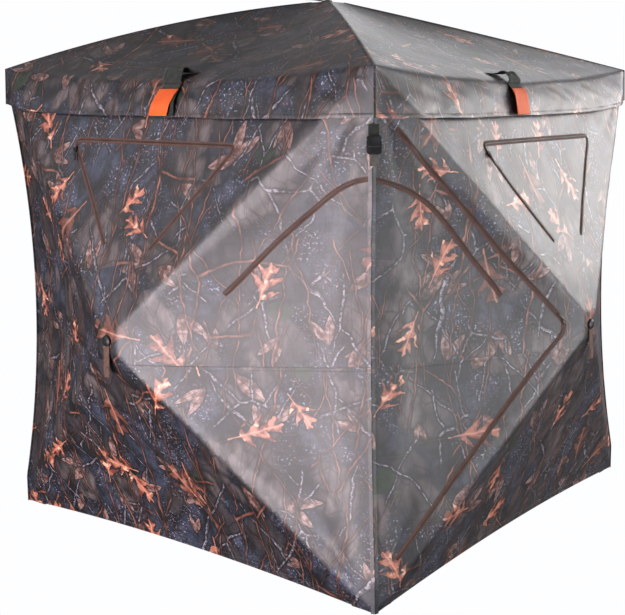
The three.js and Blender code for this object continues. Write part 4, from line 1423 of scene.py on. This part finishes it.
# ---------- hubs, cups and tabs ----------
for name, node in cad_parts.items():
    if name.startswith(("hub_", "corner_cup")) and not name.startswith("hub_tab"):
        for slot in node.material_slots:
            slot.material = plastic
TAB_START, TAB_HALF = 0.019, 0.012
for wall in (*TURNS, "roof"):
    # Down from the cap, folded back on itself at the end, in a frame whose z points out of the cloth.
    line = curve_line([(0, 0, 0.0022), (0, -0.010, 0.0024), (0, -0.025, 0.0030), (0, -0.05, 0.0042),
                       (0, -0.08, 0.0044), (0, -0.103, 0.0034), (0, -0.1065, 0.0030)], 0.004)
    line = line[line[:, 1] < -0.011]
    if wall == "roof":
        place = Matrix.Translation((0, 0, ROOF_TOP))
    else:
        place = Matrix.Rotation(math.radians(TURNS[wall]), 4, "Z") @ Matrix.Translation((0, -FACE, HUB_Z))
        place = place @ Matrix.Rotation(math.pi / 2, 4, "X")
    side = np.tile([1.0, 0, 0], (len(line), 1))
    out = unit(np.cross(side, np.gradient(line, axis=0)))
    if out[0, 2] < 0:
        out = -out
    points, faces, prints = sweep(line, side, out, tape_section(TAB_HALF, 0.0016))
    base = len(points)
    doubled = line[line[:, 1] < -0.072]
    more, more_faces, more_prints = sweep(
        doubled + out[-len(doubled) :] * 0.0017, side[-len(doubled) :], out[-len(doubled) :],
        tape_section(TAB_HALF - 0.0006, 0.0013),
    )
    points = np.concatenate([points, more])
    faces += [tuple(i + base for i in f) for f in more_faces]
    prints = np.concatenate([prints, more_prints])
    world_points = np.array([place @ Vector(p) for p in points])
    tab = mesh_object(f"{wall}_hub_tab_webbing", world_points, faces, [brown_web], prints)
    start = place @ Vector((0, -TAB_START + 0.002, 0.003))
    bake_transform(tab)
    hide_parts(f"hub_tab_{wall}")


# ---------- moulded and metal hardware ----------
def slab(outline, low, high):
    """Points and faces of an outline given depth from low to high along the third axis."""
    count = len(outline)
    points = [(x, y, d) for d in (low, high) for x, y in outline]
    faces = [tuple(range(count - 1, -1, -1)), tuple(range(count, 2 * count))]
    faces += [(k, (k + 1) % count, count + (k + 1) % count, count + k) for k in range(count)]
    return np.array(points, float), faces


def mirrored(half_outline):
    """A whole outline from its right half, listed from the bottom up."""
    return half_outline + [(-x, y) for x, y in reversed(half_outline)]


def moulded(name, slabs, place, material, edge=0.0007):
    """Joins slabs, moves them with place, and rounds their edges."""
    points, faces = [], []
    for slab_points, slab_faces in slabs:
        faces += [tuple(i + len(points) for i in f) for f in slab_faces]
        points += [tuple(p) for p in slab_points]
    points = np.array([place(p) for p in points])
    made = mesh_object(name, points, faces, [material], points[:, [0, 2]], smooth=False)
    rounded = made.modifiers.new("rounded_edges", "BEVEL")
    rounded.width = edge
    rounded.segments = 2
    rounded.limit_method = "ANGLE"
    return made


# The strap and side release buckle at the front right corner; across, up, and out from the strap's back.
BUCKLE_BACK = HALF * math.sqrt(2) - 0.004
BUCKLE_Z = 1.293  # where the socket meets the plug


def at_corner(p):
    across, up, out = p
    reach = BUCKLE_BACK + out
    return ((across + reach) / math.sqrt(2), (across - reach) / math.sqrt(2), BUCKLE_Z + up)


def corner_tape(name, line, half, thick, material):
    """Webbing at the corner along a line of (up, out) points."""
    line = curve_line([(0, up, out) for up, out in line], 0.002)
    side = np.tile([1.0, 0, 0], (len(line), 1))
    out = unit(np.cross(side, np.gradient(line, axis=0)))
    if out[0, 2] < 0:
        out = -out
    points, faces, prints = sweep(line, side, out, tape_section(half, thick))
    return mesh_object(name, [at_corner(p) for p in points], faces, [material], prints)


strap = corner_tape(
    "corner_strap_webbing",
    [(0.0588, 0.0002), (0.045, 0.0006), (0.032, 0.0012), (0.026, 0.0048), (0.0215, 0.0052)],
    0.0147, 0.0016, dark_web,
)
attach(strap, "root")
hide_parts("corner_strap")
keeper = corner_tape(
    "corner_strap_keeper", [(0.0315, 0.0035), (0.0305, 0.0055), (0.027, 0.0066)],
    0.0149, 0.0012, dark_web,
)
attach(keeper, "root")
socket_face = mirrored([
    (0.0105, 0.0008), (0.0165, 0.0008), (0.0198, 0.004), (0.0198, 0.006), (0.0158, 0.0085),
    (0.0152, 0.0155), (0.0192, 0.0185), (0.0198, 0.0215), (0.0185, 0.0272),
])
core = [(0.0115, 0.001), (0.0138, 0.0035), (0.0138, 0.018), (0.0175, 0.0205), (0.0175, 0.0268)]
socket = moulded("corner_buckle_socket", [
    slab(socket_face, 0.0085, 0.0118),
    slab(socket_face, -0.0008, 0.0022),
    slab(mirrored(core), 0.002, 0.0087),
    slab(mirrored([(0.011, 0.0225), (0.011, 0.0245)]), 0.0116, 0.0124),
], at_corner, plastic)
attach(socket, "root")
plug_body = mirrored([(0.0125, -0.0204), (0.0172, -0.0185), (0.0196, -0.0125), (0.0198, -0.0006)])
bar = mirrored([(0.0145, -0.0150), (0.0145, -0.0125)])
pad = [(0.0156, -0.001), (0.0196, -0.001), (0.0199, 0.006), (0.0196, 0.0125), (0.0172, 0.0172),
       (0.0158, 0.0166), (0.0164, 0.0095)]
other_pad = [(-x, y) for x, y in reversed(pad)]
buckle = moulded("corner_buckle_plug", [
    slab(plug_body, -0.0008, 0.0118), slab(bar, 0.0117, 0.0126), slab(pad, 0.0028, 0.0082),
    slab(other_pad, 0.0028, 0.0082), slab(mirrored([(0.0035, -0.004), (0.0035, -0.0022)]), 0.0117, 0.0124),
], at_corner, plastic)
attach(buckle, "corner_buckle")
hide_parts("corner_buckle")
tail = corner_tape(
    "corner_buckle_tail", [(-0.0185, 0.0045), (-0.026, 0.0052), (-0.038, 0.0062), (-0.051, 0.0058)],
    0.0128, 0.0015, grey_web,
)
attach(tail, "corner_buckle")


def slider_slabs():
    """A zipper slider along +Y: a shield with shoulders, a bridge, and a puller with ridges."""
    shield = [(0.0042, -0.009), (0.0060, -0.004), (0.0070, 0.003), (0.0066, 0.007), (0.0035, 0.0088),
              (0.0012, 0.0066)]
    bridge = [(0.0018, -0.006), (0.0021, 0.0045)]
    neck = [(0.0020, -0.013), (0.0030, -0.0075), (0.0026, -0.0055)]
    grip = [(0.0024, -0.036), (0.0039, -0.0335), (0.0037, -0.022), (0.0022, -0.0125)]
    parts = [slab(mirrored(shield), 0.0030, 0.0048), slab(mirrored(shield), 0.0062, 0.0076),
             slab(mirrored([(0.0011, 0.001), (0.0011, 0.0064)]), 0.0046, 0.0064),
             slab(mirrored(bridge), 0.0074, 0.0096), slab(mirrored(neck), 0.0078, 0.0092),
             slab(mirrored(grip), 0.0080, 0.0096)]
    for k in range(4):
        ridge = [(0.0028, -0.0335 + k * 0.0028), (0.0028, -0.0324 + k * 0.0028)]
        parts.append(slab(mirrored(ridge), 0.0094, 0.0100))
    return parts


def slider(name, start, heading, wall, material):
    """A slider on a wall's cloth at a place (u, z), heading along a direction."""
    heading = unit(np.array(heading, float))
    side = np.array([heading[1], -heading[0]])

    def place(p):
        u, z = np.array(start) + side * p[0] + heading * p[1]
        return turned(wall_points([u], [z], p[2] + 0.0004, WALL_SEED[wall]), wall)[0]

    return moulded(name, slider_slabs(), place, material, 0.0003)


run = unit(np.array([DOOR_HINGE_U, DOOR_TOP_Z]) - np.array(DOOR_TIP))
door_slider = slider("door_slider_and_puller", np.array(DOOR_TIP) + run * 0.026, -run, "right", metal)
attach(door_slider, "door_zipper_slider")
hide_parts("door_zipper_slider")
for wall in TURNS:
    start = np.array([-WINDOW_HIGH_HALF + 0.022, WINDOW_HIGH - 0.03])
    piece = slider(f"{wall}_window_slider", start, (-0.45, 1.0), wall, plastic)
    share = float(hub_share(*start))
    on_hub(piece, np.full(len(piece.data.vertices), share))


# ---------- marker flags on their straps ----------
FLAG_HALF, FLAG_HINGE_Z = 0.038, 1.456
FLAG_SKEW = -0.019
FLAG_LOOP = {
    "front": (0.034, 0.0015), "right": (0.024, 0.0075), "back": (0.03, 0.003), "left": (0.022, 0.006),
}


def soft_strap(name, wall, line, half, thick, material, crumple, seed, pinch=0.0):
    """A strip of webbing or cloth along a line, as a sheet that can wave, in the frame of a wall."""
    line = curve_line(line, 0.004)
    rows, count = len(line), 13
    side = np.tile([1.0, 0, 0], (rows, 1))
    out = unit(np.cross(side, np.gradient(line, axis=0)))
    if out[-1, 1] > 0:
        out = -out
    along = np.linspace(0, 1, rows)
    points, prints, faces = [], [], []
    run = along_of(line)
    for i in range(rows):
        free = math.sin(math.pi * along[i]) ** 0.7
        for k in range(count):
            share = k / (count - 1) * 2 - 1
            across = share * half * (1 - pinch * free)
            wave = noise.noise(Vector((share * 2.6, run[i] * 28, seed))) * crumple * free
            wave += math.sin(share * 5 + seed) * crumple * pinch * free
            points.append(line[i] + side[i] * across + out[i] * (wave + abs(wave) * 0.5))
            prints.append((share * half, run[i]))
    for i in range(rows - 1):
        for k in range(count - 1):
            a = i * count + k
            faces.append((a, a + 1, a + 1 + count, a + count))
    made = mesh_object(name, turned(np.array(points), wall), faces, [material], np.array(prints))
    solid = made.modifiers.new("thickness", "SOLIDIFY")
    solid.thickness = thick
    solid.offset = 0
    return made


for k, wall in enumerate(TURNS):
    middle = FLAG_PLACES[wall]
    crest, crumple = FLAG_LOOP[wall]
    column = int(round((middle / (HALF + ROOF_PROUD) + 1) / 2 * ROOF_COLUMNS))
    local = flat_sides[k][:, column].copy()
    local[:, 0] = middle
    run = along_of(local)
    fold = run[GORE_ROWS + 1]
    hinge = np.interp(-FLAG_HINGE_Z, -local[GORE_ROWS:, 2], run[GORE_ROWS:])

    def over_roof(distance, lift):
        """A point over the cloth, a distance from the fold down the skirt, lifted straight up."""
        spot = [np.interp(fold + distance, run, local[:, j]) for j in range(3)]
        return (middle, spot[1] - 0.002, spot[2] + lift)

    # Sewn to the roof, it loops up over the fold and hangs down the skirt.
    loop = [over_roof(-0.075, 0.0015), over_roof(-0.05, crest * 0.3), over_roof(-0.02, crest * 0.9),
            over_roof(-0.002, crest)]
    start = [np.interp(hinge, run, local[:, j]) for j in range(3)]
    loop.append((middle, start[1] - 0.006, start[2] + 0.014))
    loop.append((middle, start[1] - 0.004, start[2]))
    pinch = 0.12 if crumple > 0.005 else 0.0
    strap = soft_strap(
        f"{wall}_flag_strap_sewn", wall, loop, FLAG_HALF, 0.0016, dark_web, crumple, 3.0 + k, pinch
    )
    out_at = np.array([v.co[:] for v in strap.data.vertices])
    inward = HALF - np.maximum(np.abs(out_at[:, 0]), np.abs(out_at[:, 1]))
    follow = np.clip(inward / (HALF - FLAT) - tip_hold(inward / HALF, np.zeros(1)), 0, 1)
    on_roof_hub(strap, follow)
    length = float(along_of(curve_line(loop, 0.004))[-1])
    # Below the fold the strap hangs free, with the orange flag sewn over its lower part.
    stops = np.linspace(hinge, run[-1] - 0.004, 7)
    line = sample(stops, run, local)
    line[:, 1] -= 0.004 + 0.004 * np.sin(np.linspace(0, math.pi, len(line)))
    name = f"{wall}_flag_strap_hanging"
    strap = soft_strap(name, wall, line, FLAG_HALF, 0.0014, dark_web, 0.0015, 8.0 + k)
    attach(strap, f"flag_strap_{wall}")
    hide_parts(f"flag_strap_{wall}")
    flag_line = line[line[:, 2] < 1.444].copy()
    t = np.linspace(0, 1, len(flag_line))
    flag_line[:, 0] += FLAG_SKEW * t
    flag_line[:, 1] -= 0.003 + 0.006 * t
    flag = soft_strap(f"{wall}_orange_flag", wall, flag_line, FLAG_HALF, 0.0009, orange, 0.002, 5.0 + k)
    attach(flag, f"flag_strap_{wall}")


# ---------- light ----------
PAPER_WHITE = (0.985, 0.99, 1.0, 1)
SKY_SHADE = (-0.15, 0.5, 0.022, 0.23)  # the sky's strength goes from the third to the fourth, going up
FLOOR_RADIUS, FLOOR_Z, FLOOR_SIDES = 5, -0.004, 64
scene = bpy.context.scene
scene.view_settings.view_transform = "Standard"
world = bpy.data.worlds.new("studio")
scene.world = world
world.use_nodes = True
sky = world.node_tree
background = sky.nodes["Background"]
seen = sky.nodes.new("ShaderNodeLightPath")
up = sky.nodes.new("ShaderNodeSeparateXYZ")
way = sky.nodes.new("ShaderNodeTexCoord")
shade = sky.nodes.new("ShaderNodeMapRange")
strength = sky.nodes.new("ShaderNodeMix")
sky.links.new(way.outputs["Generated"], up.inputs[0])
sky.links.new(up.outputs[2], shade.inputs["Value"])
for socket, value in zip(("From Min", "From Max", "To Min", "To Max"), SKY_SHADE):
    shade.inputs[socket].default_value = value
sky.links.new(seen.outputs["Is Camera Ray"], strength.inputs["Factor"])
sky.links.new(shade.outputs[0], strength.inputs["A"])
strength.inputs["B"].default_value = 1.0
sky.links.new(strength.outputs["Result"], background.inputs["Strength"])
background.inputs["Color"].default_value = PAPER_WHITE


def area_light(name, place, target, size, power, colour):
    light = bpy.data.lights.new(name, "AREA")
    light.shape = "RECTANGLE"
    light.size, light.size_y = size
    light.energy = power
    light.color = colour
    made = bpy.data.objects.new(name, light)
    bpy.context.scene.collection.objects.link(made)
    made.location = place
    aim = Vector(target) - Vector(place)
    made.rotation_euler = aim.to_track_quat("-Z", "Y").to_euler()


area_light("back_left_window", (-1.8, 5.3, 3.6), (0.3, 0, 1.5), (3.8, 1.8), 70, (0.98, 0.98, 1.0))
area_light("back_right_window", (3.2, 4.8, 2.3), (0.7, 0, 1.1), (3.2, 2.0), 235, (1.0, 0.965, 0.955))
area_light("front_window", (0.35, -6.0, -0.2), (0.3, -0.8, 0.8), (2.6, 1.8), 385, (1.0, 0.905, 0.945))
area_light("front_left_window", (-3.0, -5.8, 3.3), (0.2, -0.85, 1.2), (1.4, 1.8), 66, (1.0, 0.95, 0.98))
area_light("side_window", (6.0, 1.6, 0.0), (0.9, -0.3, 0.8), (2.0, 1.6), 165, (0.99, 0.98, 1.0))

# A plain white floor, which takes no shadow and stops no light, so that the object stands on white.
floor_skin = bpy.data.materials.new("plain_floor")
floor_skin.use_nodes = True
floor_tree = floor_skin.node_tree
floor_tree.nodes.clear()
floor_kinds = (
    "OutputMaterial", "MixShader", "BsdfTransparent", "Emission", "LightPath", "NewGeometry", "Math",
)
output, either, clear, white, ray, surface, above = (
    floor_tree.nodes.new("ShaderNode" + kind) for kind in floor_kinds
)
above.operation = "SUBTRACT"
white.inputs["Color"].default_value = PAPER_WHITE
for source, target in (
    (ray.outputs["Is Camera Ray"], above.inputs[0]),
    (surface.outputs["Backfacing"], above.inputs[1]),
    (above.outputs[0], either.inputs[0]),
    (clear.outputs[0], either.inputs[1]),
    (white.outputs[0], either.inputs[2]),
    (either.outputs[0], output.inputs[0]),
):
    floor_tree.links.new(source, target)
around = [2 * math.pi * k / FLOOR_SIDES for k in range(FLOOR_SIDES)]
edge = [(FLOOR_RADIUS * math.cos(a), FLOOR_RADIUS * math.sin(a), FLOOR_Z) for a in around]
floor = mesh_object("floor", edge, [range(FLOOR_SIDES)], [floor_skin])
